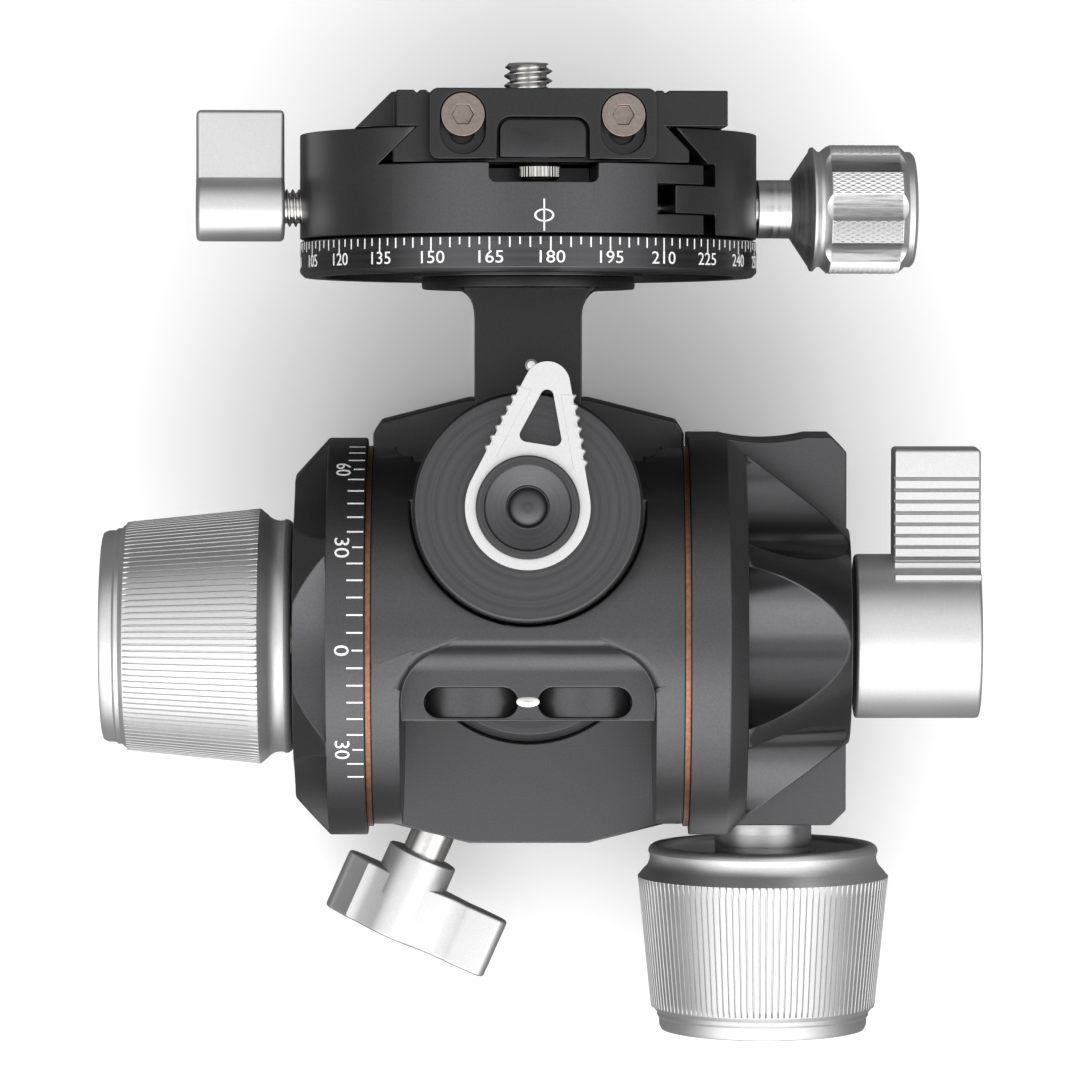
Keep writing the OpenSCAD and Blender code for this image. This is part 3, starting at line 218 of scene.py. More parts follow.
def draw(points, closed=True):
    """A line of edges drawn from point to point, each pulled out of the one before."""
    points = [Vector(point) * MM for point in points]
    deselect()
    bpy.ops.mesh.primitive_plane_add(size=MM)
    bpy.ops.object.mode_set(mode="EDIT")
    bpy.ops.mesh.merge(type="CENTER")
    bpy.ops.transform.translate(value=points[0])
    for here, there in zip(points, points[1:]):
        bpy.ops.mesh.extrude_region_move(TRANSFORM_OT_translate={"value": there - here})
    if closed:
        mesh = bmesh.from_edit_mesh(bpy.context.object.data)
        mesh.verts.ensure_lookup_table()
        mesh.verts[0].select_set(True)
        bpy.ops.mesh.edge_face_add()
    bpy.ops.object.mode_set(mode="OBJECT")


def turned(name, outline, steps):
    """A turned piece about z, from its outline of (radius, height) in mm."""
    closed = outline[0][0] > 0 and outline[-1][0] > 0
    draw([(r, 0, z) for r, z in outline], closed)
    piece = start(name)
    with editing(piece, "SELECT"):
        bpy.ops.mesh.spin(steps=steps, angle=2 * pi, center=(0, 0, 0), axis=(0, 0, 1))
    merge(piece)
    return piece


def draw_in(piece, steps, share, test):
    """Pulls vertices of a turned piece towards its axis by a share of their radius.

    The test gets each one's step round the axis, its radius and its height in mm.
    """
    with editing(piece) as mesh:
        for vertex in mesh.verts:
            x, y, z = vertex.co / MM
            step = round((Vector((x, y)).angle_signed(Vector((1, 0)), 0) % (2 * pi)) / (2 * pi / steps))
            vertex.select_set(test(step, sqrt(x * x + y * y), z))
        mesh.select_flush_mode()
        bpy.ops.transform.resize(value=(1 - share, 1 - share, 1), center_override=(0, 0, 0))
    return piece


def milled(name, outline, z0, z1):
    """A plate cut to an outline in mm, between two heights."""
    draw([(x, y, z0) for x, y in outline])
    piece = start(name)
    with editing(piece, "SELECT"):
        bpy.ops.mesh.edge_face_add()
        bpy.ops.mesh.extrude_region_move(TRANSFORM_OT_translate={"value": (0, 0, (z1 - z0) * MM)})
    merge(piece)
    return piece


def rod(name, radius, z0, z1, sides):
    """A cylinder about z, between two heights in mm."""
    deselect()
    bpy.ops.mesh.primitive_cylinder_add(
        vertices=sides, radius=radius * MM, depth=(z1 - z0) * MM, location=(0, 0, (z0 + z1) / 2 * MM))
    piece = start(name)
    bpy.ops.object.transform_apply()
    return piece


def block(name, low, high):
    """A block between two corners in mm."""
    low, high = Vector(low), Vector(high)
    deselect()
    bpy.ops.mesh.primitive_cube_add(size=1, location=(low + high) / 2 * MM, scale=(high - low) * MM)
    piece = start(name)
    bpy.ops.object.transform_apply()
    return piece


def threaded(name, radius, pitch, z0, z1, chamfer):
    """A threaded rod about z: a coil round its core, trimmed to a chamfered cylinder."""
    core = radius - 0.6 * pitch
    root, crest = core - 0.15, radius + 0.02
    coil_start, core_start, core_end = z0 - 1.5 * pitch, z0 - 0.6 * pitch, z1 + 0.3 * pitch
    coil_steps, core_sides = 28, 56
    profile = ((root, 0), (crest, 0.43), (crest, 0.53), (root, 0.96))
    draw([(r, 0, coil_start + share * pitch) for r, share in profile])
    coil = start(name)
    work(coil, "SCREW", axis="Z", angle=2 * pi, screw_offset=pitch * MM, steps=coil_steps,
         render_steps=coil_steps, iterations=ceil((z1 - z0) / pitch) + 2)
    with editing(coil, "SELECT"):
        bpy.ops.mesh.fill_holes(sides=6)
    merge(coil)
    combine(coil, "UNION", rod("core", core, core_start, core_end, core_sides))
    outline = [(0, z0), (radius, z0), (radius, z1 - chamfer), (radius - chamfer, z1), (0, z1)]
    return combine(coil, "INTERSECT", turned("trim", outline, core_sides))


def copy_round(piece, count, step):
    """Copies a piece's mesh round z, a step in degrees at a time, up to a count."""
    with editing(piece, "SELECT"):
        bpy.ops.mesh.spin(steps=count - 1, angle=radians(step * (count - 1)), dupli=True,
                          center=(0, 0, 0), axis=(0, 0, 1))
    return piece


def cad_copy(node, name):
    """A merged copy of a CAD node's mesh, its flat faces whole again."""
    piece = bpy.data.objects.new(name, frame["nodes"][node].data.copy())
    bpy.context.collection.objects.link(piece)
    with editing(piece, "SELECT"):
        bpy.ops.mesh.remove_doubles(threshold=TOUCHING)
        bpy.ops.mesh.dissolve_limited(angle_limit=radians(FLAT))
    return piece


def coat(piece, finish):
    """Gives a piece one finish alone."""
    piece.data.materials.clear()
    piece.data.materials.append(finish)


def dress(piece, finish, node, smooth=SMOOTH):
    """Gives a piece its finish and its place in the frame, in the stead of the node it stands for."""
    pick(piece)
    bpy.ops.object.shade_smooth_by_angle(angle=radians(smooth))
    work(piece, "WEIGHTED_NORMAL", keep_sharp=True)
    coat(piece, finish)
    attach(piece, BODY_OF[node])
    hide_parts(node)
    return piece


def add_to(piece, finish, node):
    """Gives a detail its finish, and lets it ride with the node it is on."""
    pick(piece)
    bpy.ops.object.shade_smooth_by_angle(angle=radians(SMOOTH))
    coat(piece, finish)
    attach(piece, BODY_OF[node])
    return piece


def recast(node, name, finish, edge=0):
    """A piece in a CAD node's own form and stead, its edges broken by a width in mm."""
    piece = cad_copy(node, name)
    if edge:
        break_edges(piece, edge)
    return dress(piece, finish, node)


# ------------------------ finishes

# Pitch of the rings that a lathe leaves, in mm, and how many of the wider bands in them there are to a ring
RING_PITCH = 0.12
BAND_SHARE = 0.12
# Half the range in which patches and rings move a finish's roughness
PATCH_GLOSS = 0.04
RING_GLOSS = 0.06
# Shade of the darkest rings
RING_SHADE = 0.86


def wire_up(tree, kind, inputs=(), **settings):
    """Adds a node, sets it up, and fills its sockets with values or with other nodes' outputs."""
    made = tree.nodes.new(kind)
    for setting, value in settings.items():
        setattr(made, setting, value)
    for socket, value in dict(inputs).items():
        if isinstance(value, bpy.types.NodeSocket):
            tree.links.new(value, made.inputs[socket])
        else:
            made.inputs[socket].default_value = value
    return made


def sum_up(tree, operation, *values):
    """Output of one sum of values or of other nodes' outputs."""
    return wire_up(tree, "ShaderNodeMath", enumerate(values), operation=operation).outputs[0]


def noise(tree, scale, detail, **more):
    """Mask from a noise texture. Its place is given as a Vector, or as a W alone for noise along one line."""
    along = {"noise_dimensions": "1D"} if "W" in more else {}
    sockets = {"Scale": scale, "Detail": detail, **more}
    return wire_up(tree, "ShaderNodeTexNoise", sockets, **along).outputs["Fac"]


def new_group(name, setting, default, outputs):
    """An empty group that takes a position and one setting, with its two end nodes."""
    group = bpy.data.node_groups.new(name, "ShaderNodeTree")
    group.interface.new_socket("Position", in_out="INPUT", socket_type="NodeSocketVector")
    group.interface.new_socket(setting, in_out="INPUT", socket_type="NodeSocketFloat").default_value = default
    for socket in outputs:
        group.interface.new_socket(socket, in_out="OUTPUT", socket_type="NodeSocketFloat")
    return group, group.nodes.new("NodeGroupInput").outputs, group.nodes.new("NodeGroupOutput").inputs


def blast_group():
    """The even pitting of bead-blasted metal, and the slow patches that anodising leaves in it."""
    if "Blasted grain" in bpy.data.node_groups:
        return bpy.data.node_groups["Blasted grain"]
    patch_size = 9.0
    group, given, result = new_group("Blasted grain", "Grain", 0.25, ["Height", "Patch"])
    per_metre = sum_up(group, "DIVIDE", 1 / MM, given["Grain"])
    fine = noise(group, per_metre, 2.0, Vector=given["Position"], Roughness=0.6)
    slow = noise(group, 1 / MM / patch_size, 3.0, Vector=given["Position"], Roughness=0.5)
    group.links.new(fine, result["Height"])
    group.links.new(slow, result["Patch"])
    return group


def lathe_group():
    """Fine rings that a lathe leaves round an axis: z of the position it is given."""
    if "Lathe rings" in bpy.data.node_groups:
        return bpy.data.node_groups["Lathe rings"]
    group, given, result = new_group("Lathe rings", "Pitch", RING_PITCH, ["Height", "Streak"])
    apart = wire_up(group, "ShaderNodeSeparateXYZ", {0: given["Position"]}).outputs
    squares = [sum_up(group, "POWER", apart[i], 2.0) for i in (0, 1)]
    radius = sum_up(group, "SQRT", sum_up(group, "ADD", *squares))
    along = sum_up(group, "ADD", radius, apart["Z"])
    per_metre = sum_up(group, "DIVIDE", 1 / MM, given["Pitch"])
    rings = noise(group, per_metre, 2.0, W=along)
    bands = noise(group, sum_up(group, "MULTIPLY", per_metre, BAND_SHARE), 2.0, W=along)
    group.links.new(rings, result["Height"])
    group.links.new(bands, result["Streak"])
    return group


def spread(tree, mask, low, high):
    """Turns a mask into a value between low and high."""
    return wire_up(tree, "ShaderNodeMapRange", {
        "Value": mask, "From Min": 0.3, "From Max": 0.7, "To Min": low, "To Max": high}).outputs["Result"]


def tinted(tree, mask, dark, light):
    """Turns a mask into a colour between dark and light."""
    return wire_up(tree, "ShaderNodeMix", {
        "Factor": mask, "A": (*dark, 1), "B": (*light, 1)}, data_type="RGBA").outputs["Result"]


def scaled(colour, share):
    """A colour made darker or lighter."""
    return [channel * share for channel in colour]


def metal(name, colour, metallic, gloss, grain=0.25, depth=0.006, contrast=0.12, axis=None, ring_depth=0.0):
    """A finish in metal: blasted grain, and lathe rings where an axis is given, with the shade they lend it.

    The grain and both depths are in mm. The contrast of the grain is a share of the colour.
    """
    if name in bpy.data.materials:
        return bpy.data.materials[name]
    finish = bpy.data.materials.new(name)
    finish.use_nodes = True
    tree = finish.node_tree
    tree.nodes.clear()
    place = wire_up(tree, "ShaderNodeTexCoord").outputs["Object"]
    blast = wire_up(tree, "ShaderNodeGroup", {"Position": place, "Grain": grain},
                    node_tree=blast_group()).outputs
    speckle = spread(tree, blast["Height"], 0.0, 1.0)
    base = tinted(tree, speckle, scaled(colour, 1 - contrast), scaled(colour, 1 + contrast))
    mask, waver = blast["Patch"], PATCH_GLOSS
    bump = wire_up(tree, "ShaderNodeBump", {
        "Strength": 0.5, "Distance": depth * MM, "Height": blast["Height"]})
    if axis is not None:
        mapped = wire_up(tree, "ShaderNodeMapping", {
            "Vector": place, "Location": axis.to_translation(), "Rotation": axis.to_euler()},
            vector_type="TEXTURE").outputs[0]
        lathe = wire_up(tree, "ShaderNodeGroup", {"Position": mapped}, node_tree=lathe_group()).outputs
        mask, waver = lathe["Streak"], RING_GLOSS
        streak = tinted(tree, spread(tree, mask, 0.0, 1.0), [RING_SHADE] * 3, [1.0] * 3)
        base = wire_up(tree, "ShaderNodeMix", {"Factor": 1.0, "A": base, "B": streak},
                       data_type="RGBA", blend_type="MULTIPLY").outputs["Result"]
        bump = wire_up(tree, "ShaderNodeBump", {
            "Strength": 0.6, "Distance": ring_depth * MM, "Height": lathe["Height"],
            "Normal": bump.outputs[0]})
    rough = spread(tree, mask, gloss - waver, gloss + waver)
    shader = wire_up(tree, "ShaderNodeBsdfPrincipled", {
        "Base Color": base, "Metallic": metallic, "Roughness": rough, "Normal": bump.outputs[0]})
    wire_up(tree, "ShaderNodeOutputMaterial", {"Surface": shader.outputs[0]})
    return finish


def colours():
    return bpy.context.scene.head_colours


def sizes():
    return bpy.context.scene.head_sizes


def blasted_black():
    return metal("Blasted black", colours().black, metallic=0.85, gloss=0.36, depth=0.005, contrast=0.1)


def satin_black():
    return metal("Satin black", colours().black, metallic=0.9, gloss=0.2, grain=0.4, depth=0.001,
                 contrast=0.06)


# Painted shade: the black darkened to 0.42 of itself. It stands in for the darker reflections that the
# camera-facing flats of the neck, the plate, its lip and its boss show.
def deep_black():
    darker = 0.42
    return metal("Shade-darkened black", scaled(colours().black, darker), metallic=0.8, gloss=0.3, grain=0.3,
                 depth=0.002, contrast=0.08)


def turned_black(what, axis):
    """Turned black for one piece, its rings round the piece's own axis."""
    return metal(f"Turned black {what}", colours().black, metallic=0.9, gloss=0.28, depth=0.002,
                 contrast=0.06, axis=axis, ring_depth=0.004)


def blasted_silver():
    return metal("Blasted silver", colours().silver, metallic=0.92, gloss=0.42, grain=0.22, contrast=0.05)


def turned_silver(what, axis):
    """Turned silver for one piece, its rings round the piece's own axis."""
    return metal(f"Turned silver {what}", colours().silver, metallic=0.95, gloss=0.32, depth=0.003,
                 contrast=0.04, axis=axis, ring_depth=0.003)


def bearing_bronze():
    return metal("Bearing bronze", colours().bronze, metallic=0.9, gloss=0.38, grain=0.6, depth=0.008,
                 contrast=0.22)


def turned_steel():
    return metal("Turned steel", colours().steel, metallic=1.0, gloss=0.22, grain=0.8, depth=0.001,
                 contrast=0.05)


def plated_steel():
    return metal("Plated steel", colours().plating, metallic=1.0, gloss=0.3, grain=0.5, depth=0.003)


def scale_paint():
    return metal("Scale paint", colours().paint, metallic=0.0, gloss=0.5, grain=0.3, depth=0.003,
                 contrast=0.05)


# ------------------------ settings


def length_setting(name, description, default, low, high):
    """A setting for a length."""
    return FloatProperty(name=name, description=description + ", in mm", default=default, min=low, max=high)


def colour_setting(name, description, *default):
    """A setting for a colour."""
    return FloatVectorProperty(name=name, description=description, subtype="COLOR", default=default,
                               min=0, max=1)


class HeadSizes(bpy.types.PropertyGroup):
    """Sizes of the details that the CAD model leaves to the looks."""

    edge: length_setting("Broken Edge", "Rounding of milled edges", 0.25, 0.05, 0.5)
    ribs: IntProperty(name="Knob Ribs", description="Ribs round each drive knob", default=116,
                      min=60, max=140)
    rib_depth: length_setting("Rib Depth", "Depth of the grooves between ribs", 0.32, 0.1, 0.4)
    mark_depth: length_setting("Mark Thickness", "Thickness of the scale paint", 0.03, 0.01, 0.05)
    number_height: length_setting("Number Height", "Height of the scale numbers", 1.47, 1.0, 2.0)
    ridge_pitch: length_setting("Ridge Pitch", "Pitch of the tilt lever's ridges", 1.487, 1.0, 2.0)


class HeadColours(bpy.types.PropertyGroup):
    """Colours of the finishes."""

    black: colour_setting("Black", "Black anodising", 0.08, 0.08, 0.083)
    silver: colour_setting("Silver", "Natural anodising", 0.6, 0.6, 0.6)
    bronze: colour_setting("Bronze", "Bearing bronze", 0.25, 0.125, 0.08)
    steel: colour_setting("Steel", "Bare steel", 0.66, 0.65, 0.63)
    plating: colour_setting("Plating", "Plated screws", 0.24, 0.20, 0.18)
    paint: colour_setting("Paint", "Scale marks", 0.86, 0.86, 0.86)
    floor: colour_setting("Floor", "Floor of the stage", 0.98, 0.98, 0.98)


# ------------------------ pieces


class HEAD_OT_foot(bpy.types.Operator):
    """Turned foot, hub disc and their screws"""

    bl_idname = "head.foot"
    bl_label = "Foot"

    def execute(self, context):
        recast("tripod_foot", "foot", turned_black("foot", Matrix()), edge=sizes().edge)
        recast("pan_hub", "hub_disc", turned_black("foot", Matrix()), edge=0.15)
        recast("hub_screws", "hub_disc_screws", turned_steel(), edge=0.08)
        return {"FINISHED"}


class HEAD_OT_pan_block(bpy.types.Operator):
    """Milled block that pans on the foot"""

    bl_idname = "head.pan_block"
    bl_label = "Pan Block"

    def execute(self, context):
        recast("pan_block", "panning_block", blasted_black(), edge=sizes().edge)
        recast("pan_glide_ring", "glide_ring", bearing_bronze())
        return {"FINISHED"}


class HEAD_OT_cheeks(bpy.types.Operator):
    """Left cheek, right housing with its nose, and the fluted gear cover"""

    bl_idname = "head.cheeks"
    bl_label = "Cheeks"

    def execute(self, context):
        recast("left_cheek", "fluted_cheek", blasted_black(), edge=0.18)
        recast("right_housing", "worm_housing", blasted_black(), edge=0.18)
        recast("gear_cover", "fluted_cover", satin_black(), edge=0.18)
        recast("worm_bush_front", "worm_nose", turned_silver("nose", TILT_DRIVE), edge=0.2)
        return {"FINISHED"}


class HEAD_OT_barrel(bpy.types.Operator):
    """Milled tilt barrel with its slots' ends and pin, and its bronze friction rings"""

    bl_idname = "head.barrel"
    bl_label = "Tilt Barrel"

    def execute(self, context):
        barrel = cad_copy("tilt_barrel", "milled_barrel")
        self.blend_pocket(barrel)
        break_edges(barrel, sizes().edge)
        dress(barrel, blasted_black(), "tilt_barrel")
        recast("friction_rings", "friction_washers", bearing_bronze())

        slot_x, cut_y, cut_r, slot_low, slot_high = 7.35, -11.05, 8.45, -10.1, -6.3
        for side, name in ((-1, "slot_roller_left"), (1, "slot_roller_right")):
            roller = milled(name, arc(slot_x * side, cut_y, cut_r, 225, 315, 24), slot_low, slot_high)
            settle(roller, STAGE)
            add_to(roller, blasted_black(), "tilt_barrel")

        pin_z, wider, flatter = -8.1, 1.5, 0.7
        pin = turned("slot_pin", [(0, 19.0), (1.0, 19.0), (1.0, 20.0), (0.8, 20.1), (0, 20.25)], 32)
        settle(pin, raised(STAGE, pin_z) @ TOWARD_FRONT @ Matrix.Diagonal((wider, flatter, 1, 1)))
        add_to(pin, turned_steel(), "tilt_barrel")
        return {"FINISHED"}

    def blend_pocket(self, barrel):
        """Rounds the crease where the front pocket runs out into the barrel."""
        barrel_r, near, half_w, lowest, width = 24.7, 0.08, 16.3, -12.5, 1.1
        with editing(barrel) as mesh:
            for vertex in mesh.verts:
                x, y, z = (STAGE.inverted() @ vertex.co) / MM
                on_rim = abs(sqrt(y * y + z * z) - barrel_r) < near
                vertex.select_set(on_rim and abs(x) < half_w and y < 0 and lowest < z < 0)
            mesh.select_flush_mode()
            bpy.ops.mesh.bevel(offset=width * MM, segments=5)


class HEAD_OT_roll_cover(bpy.types.Operator):
    """Turned disc that covers the roll gear"""

    bl_idname = "head.roll_cover"
    bl_label = "Roll Cover"

    def execute(self, context):
        disc = turned("cover_disc", [(5.0, 17.0), (14.8, 17.0), (14.8, 27.1), (14.4, 27.5), (5.0, 27.5)], 144)
        break_edges(disc, 0.12)
        settle(disc, ROLL_AXIS)
        dress(disc, turned_black("cover", ROLL_AXIS), "front_cover")
        return {"FINISHED"}


class HEAD_OT_drive_knobs(bpy.types.Operator):
    """The two ribbed drive knobs"""

    bl_idname = "head.drive_knobs"
    bl_label = "Drive Knobs"

    def skirt(self, name):
        """Cup of a drive knob about z, its open lip at z = 0."""
        bore = [(0, 22.4), (3.02, 22.4), (3.02, 8.2), (6.0, 8.2), (6.0, 21.2), (12.6, 21.2), (13.5, 1.4)]
        lip = arcs((14.45, 0.95, 0.95, 180, 360, 8), (17.3, 1.7, 2.1, 190, 128, 6))
        back = [(16.78, 4.3), (16.4, 6.0), (14.9, 20.9), (14.75, 21.9), (14.45, 22.3), (14.2, 22.5),
                (14.2, 23.0), (13.95, 23.3), (13.9, 24.3), (13.6, 24.9), (13.0, 25.05), (0, 25.2)]
        return turned(name, bore + lip + back, 128)

    def ribs(self, name):
        """Sleeve of ribs round the knob: V grooves that run out to points at both ends."""
        share, mean_r, inner_r, low, high = 6, 16, 15.0, 5.5, 21.4
        steps = sizes().ribs * share
        outline = [(14.6, 4.3), (16.8, 4.3), (16.62, 5.9), (15.12, 20.9), (15.0, 21.8), (14.0, 21.8)]
        return draw_in(turned(name, outline, steps), steps, sizes().rib_depth / mean_r,
                       lambda step, radius, z: step % share == 0 and radius > inner_r and low < z < high)

    def execute(self, context):
        for node, name, axis, lip_z in (("tilt_knob", "tilt_drive_knob", TILT_DRIVE, 29.2),
                                        ("roll_knob", "roll_drive_knob", ROLL_DRIVE, 30.85)):
            knob = gather(name, self.skirt(name + "_skirt"), self.ribs(name + "_ribs"))
            settle(knob, raised(axis, lip_z))
            dress(knob, blasted_silver(), node, smooth=24)
        return {"FINISHED"}


class HEAD_OT_roll_lever(bpy.types.Operator):
    """Saw-edged release lever on the front, with its dished cap"""

    bl_idname = "head.roll_lever"
    bl_label = "Roll Lever"

    # Radii at the axis and at the tip, distance of the tip, and the plate's heights along the axis, in mm
    ring_r, tip_r, reach = 8.0, 2.9, 15.9
    low, high = 27.8, 32.6
    # Half the angle between its flanks in radians, and where the lever stands in degrees
    lean = asin((ring_r - tip_r) / reach)
    stands_at = -9

    def execute(self, context):
        plate, teeth = self.plate(), self.teeth()
        nub_low, nub_r, nub_x, nub_y = self.low + 0.6, 0.78, -2.4, 18.0
        nub = turned("nub", [(0, nub_low), (nub_r, nub_low), (nub_r, self.high - 0.9), (0.5, self.high - 0.6),
                             (0, self.high - 0.5)], 24)
        settle(nub, moved(nub_x, nub_y, 0))
        lever = gather("saw_edged_lever", plate, *teeth, nub)
        settle(lever, ROLL_AXIS @ spun(self.stands_at, "Z"))
        dress(lever, blasted_silver(), "roll_release_lever", smooth=18)

        cap_r, base, face = 6.6, 27.8, 33.4
        cap = turned("dished_cap", [(0, base), (cap_r, base)] + [(r, face - sunk) for r, sunk in (
            (cap_r, 0.2), (6.45, 0), (5.62, 0), (5.45, 0.18), (5.3, 0.3), (2.85, 1.3), (2.68, 1.18),
            (2.5, 1.3), (2.42, 1.55), (2.2, 1.3), (1.7, 1.02), (1.1, 0.84), (0.5, 0.76), (0, 0.74))], 96)
        settle(cap, ROLL_AXIS)
        dress(cap, turned_black("cap", ROLL_AXIS), "roll_lever_cap", smooth=40)
        return {"FINISHED"}

    def plate(self):
        """The lever's plate with its window and bore, its front edge bevelled."""
        bevel_w, bevel_h, near, bore_r, over = 0.5, 0.28, 0.01, 6.65, 1
        right = degrees(self.lean)
        outline = arcs((0, 0, self.ring_r, -right - 180, right, 56),
                       (0, self.reach, self.tip_r, right, 180 - right, 20))
        window = arcs((2.0, 9.1, 0.9, -90, 10, 6), (0.2, 14.4, 0.85, 10, 170, 8),
                      (-1.6, 9.1, 0.9, 170, 270, 6))
        shoulder = self.high - bevel_h
        plate = cut_away(milled("lever_plate", outline, self.low, shoulder),
                         milled("window", window, self.low - over, self.high + over))
        with editing(plate) as mesh:
            for face in mesh.faces:
                face.select_set(face.calc_center_median().z > (shoulder - near) * MM)
            bpy.ops.mesh.inset(thickness=bevel_w * MM, depth=bevel_h * MM)
        return cut_away(plate, rod("cap_bore", bore_r, self.low - over, self.high + over, 96))

    def teeth(self):
        """One row of saw teeth along each flank."""
        flank = self.reach * cos(self.lean)
        count, first, span = 7, 0.24 * flank, 0.67 * flank
        step = span / count
        root, valley, crest, crest_share = self.ring_r - 1.6, self.ring_r - 0.15, self.ring_r + 0.6, 0.6
        saw = [(root, first)]
        for i in range(count):
            saw += [(valley, first + i * step), (crest, first + (i + crest_share) * step)]
        saw.append((root, first + count * step))
        rows = []
        for side in (-1, 1):
            turn = Matrix.Rotation(side * self.lean, 4, "Z")
            points = [(turn @ Vector((side * x, y, 0))).to_2d() for x, y in saw]
            row = milled("saw", points, self.low + 0.3, self.high - 0.25)
            rows.append(break_edges(row, 0.18, segments=1, angle=50))
        return rows


class HEAD_OT_tilt_lever(bpy.types.Operator):
    """Ridged release lever on the right"""

    bl_idname = "head.tilt_lever"
    bl_label = "Tilt Lever"

    def execute(self, context):
        hub_r, bore_r, head_r = 10.8, 2.5, 4.5
        hub_low, arm_low, head_low, high = 42.8, 47.85, 56.8, 59.25
        half_t, rise, over, pitch = 4.5, 24.8, 0.8, sizes().ridge_pitch
        hub = turned("hub", [(bore_r, hub_low), (hub_r, hub_low), (hub_r, high), (head_r, high),
                             (head_r, head_low), (bore_r, head_low)], 96)
        break_edges(hub, 0.5, segments=3, angle=60)
        settle(hub, TOWARD_X)
        arm = block("arm", (arm_low, 0, -half_t), (high, rise, half_t))
        break_edges(arm, 0.5, segments=3)
        cut_away(arm, settle(rod("bore", head_r, 55, 62, 64), TOWARD_X))

        # Saw grooves, each with one steep side, and where they start up the arm
        count, start_y, groove_top, groove_floor, half_w, steep = 10, 7.49, 4.6, 4.0, 0.3, 0.25
        grooves = []
        for y in (start_y + i * pitch for i in range(count)):
            corners = [(y - half_w, groove_top), (y + half_w, groove_top), (y + steep, groove_floor)]
            groove = milled("groove", corners, arm_low - over, high + over)
            grooves.append(settle(groove, TOWARD_X @ spun(90, "Z")))
        cut_away(arm, gather("grooves", *grooves))

        # The two lowest ridges run on as steps on the hub
        step_low, step_high, step_foot = 7.75, 8.6, 3
        steps = []
        for i, top in enumerate((7.7, 5.6)):
            step = block("step", (arm_low, step_low + i * pitch, step_foot),
                         (high, step_high + i * pitch, top))
            steps.append(break_edges(step, 0.12, segments=1))
        lever = gather("ridged_lever", arm, hub, *steps)
        settle(lever, TILT_CENTRE)
        dress(lever, blasted_silver(), "tilt_release_lever", smooth=30)
        recast("tilt_lever_screw", "tilt_lever_bolt", turned_steel(), edge=0.12)
        return {"FINISHED"}


class HEAD_OT_pan_lock(bpy.types.Operator):
    """Winged knob that locks the pan"""

    bl_idname = "head.pan_lock"
    bl_label = "Pan Lock"

    def execute(self, context):
        hub_r, bore_r, bore_end, hub_end, wing_end = 4.85, 2.98, 3.5, 7.0, 11.9
        hub = turned("lock_hub", [(bore_r, 0), (hub_r, 0), (hub_r, hub_end), (0, hub_end), (0, bore_end),
                                  (bore_r, bore_end)], 64)
        break_edges(hub, 0.35, segments=3, angle=60)
        wings = arcs((0, 0, hub_r, 215, 285, 8), (8.6, -5.2, 2.6, 120, 60, 6), (12.4, -0.9, 1.8, -60, 60, 8),
                     (8.0, 6.6, 5.4, 285, 240, 6), (0, 0, hub_r, 50, 120, 8), (-5.3, 6.9, 3.5, 290, 262, 4),
                     (-7.7, 0.2, 1.8, 100, 250, 10))
        body = break_edges(milled("lock_wings", wings, bore_end, wing_end), 0.45, segments=3, angle=50)
        knob = gather("winged_knob", body, hub)
        hub_z, wings_at = 35.2, 12
        settle(knob, raised(PAN_LOCK, hub_z) @ spun(wings_at, "Z"))
        dress(knob, blasted_silver(), "pan_lock_knob")
        return {"FINISHED"}


class HEAD_OT_neck(bpy.types.Operator):
    """Neck that carries the panning clamp"""

    bl_idname = "head.neck"
    bl_label = "Neck"

    def execute(self, context):
        # Painted shade: the neck takes the darkened copy of the black.
        recast("neck", "roll_neck", deep_black(), edge=sizes().edge)
        return {"FINISHED"}


# Radius of the degree ring and of the clamp, in mm, and where the ring's marks start, in degrees
SCALE_R = 30.0
SCALE_START = 5.6
# Shape of the numbers: their height as a share of the font's, and what they gain in height and width
DIGIT_SHARE = 0.69
DIGIT_GAIN = 1.07
DIGIT_WIDTH = 1.14


def scale_mark(radius, half_w, top, length, angle=0):
    """A painted mark on a cylinder about z, sunk a little into it, at an angle from the front."""
    sunk = 0.06
    low = (-half_w, -radius - sizes().mark_depth, top - length)
    return settle(block("mark", low, (half_w, -radius + sunk, top)), spun(angle, "Z"))


def wrapped_number(text, radius, angle, height, share=1.0):
    """A number wrapped on a cylinder about z, upright at its height and at an angle from the front."""
    deselect()
    bpy.ops.object.text_add()
    number = bpy.context.object
    number.data.body = text
    number.data.size = DIGIT_GAIN * share * sizes().number_height / DIGIT_SHARE * MM
    number.data.align_x = "CENTER"
    number.data.resolution_u = 3
    number.data.extrude = sizes().mark_depth * MM
    bpy.ops.object.convert(target="MESH")
    number = bpy.context.object
    for vertex in number.data.vertices:
        x, y, z = vertex.co
        turn = radians(angle) + DIGIT_WIDTH * x / (radius * MM)
        reach = radius * MM + z
        vertex.co = (reach * sin(turn), -reach * cos(turn), y + height * MM)
    return number


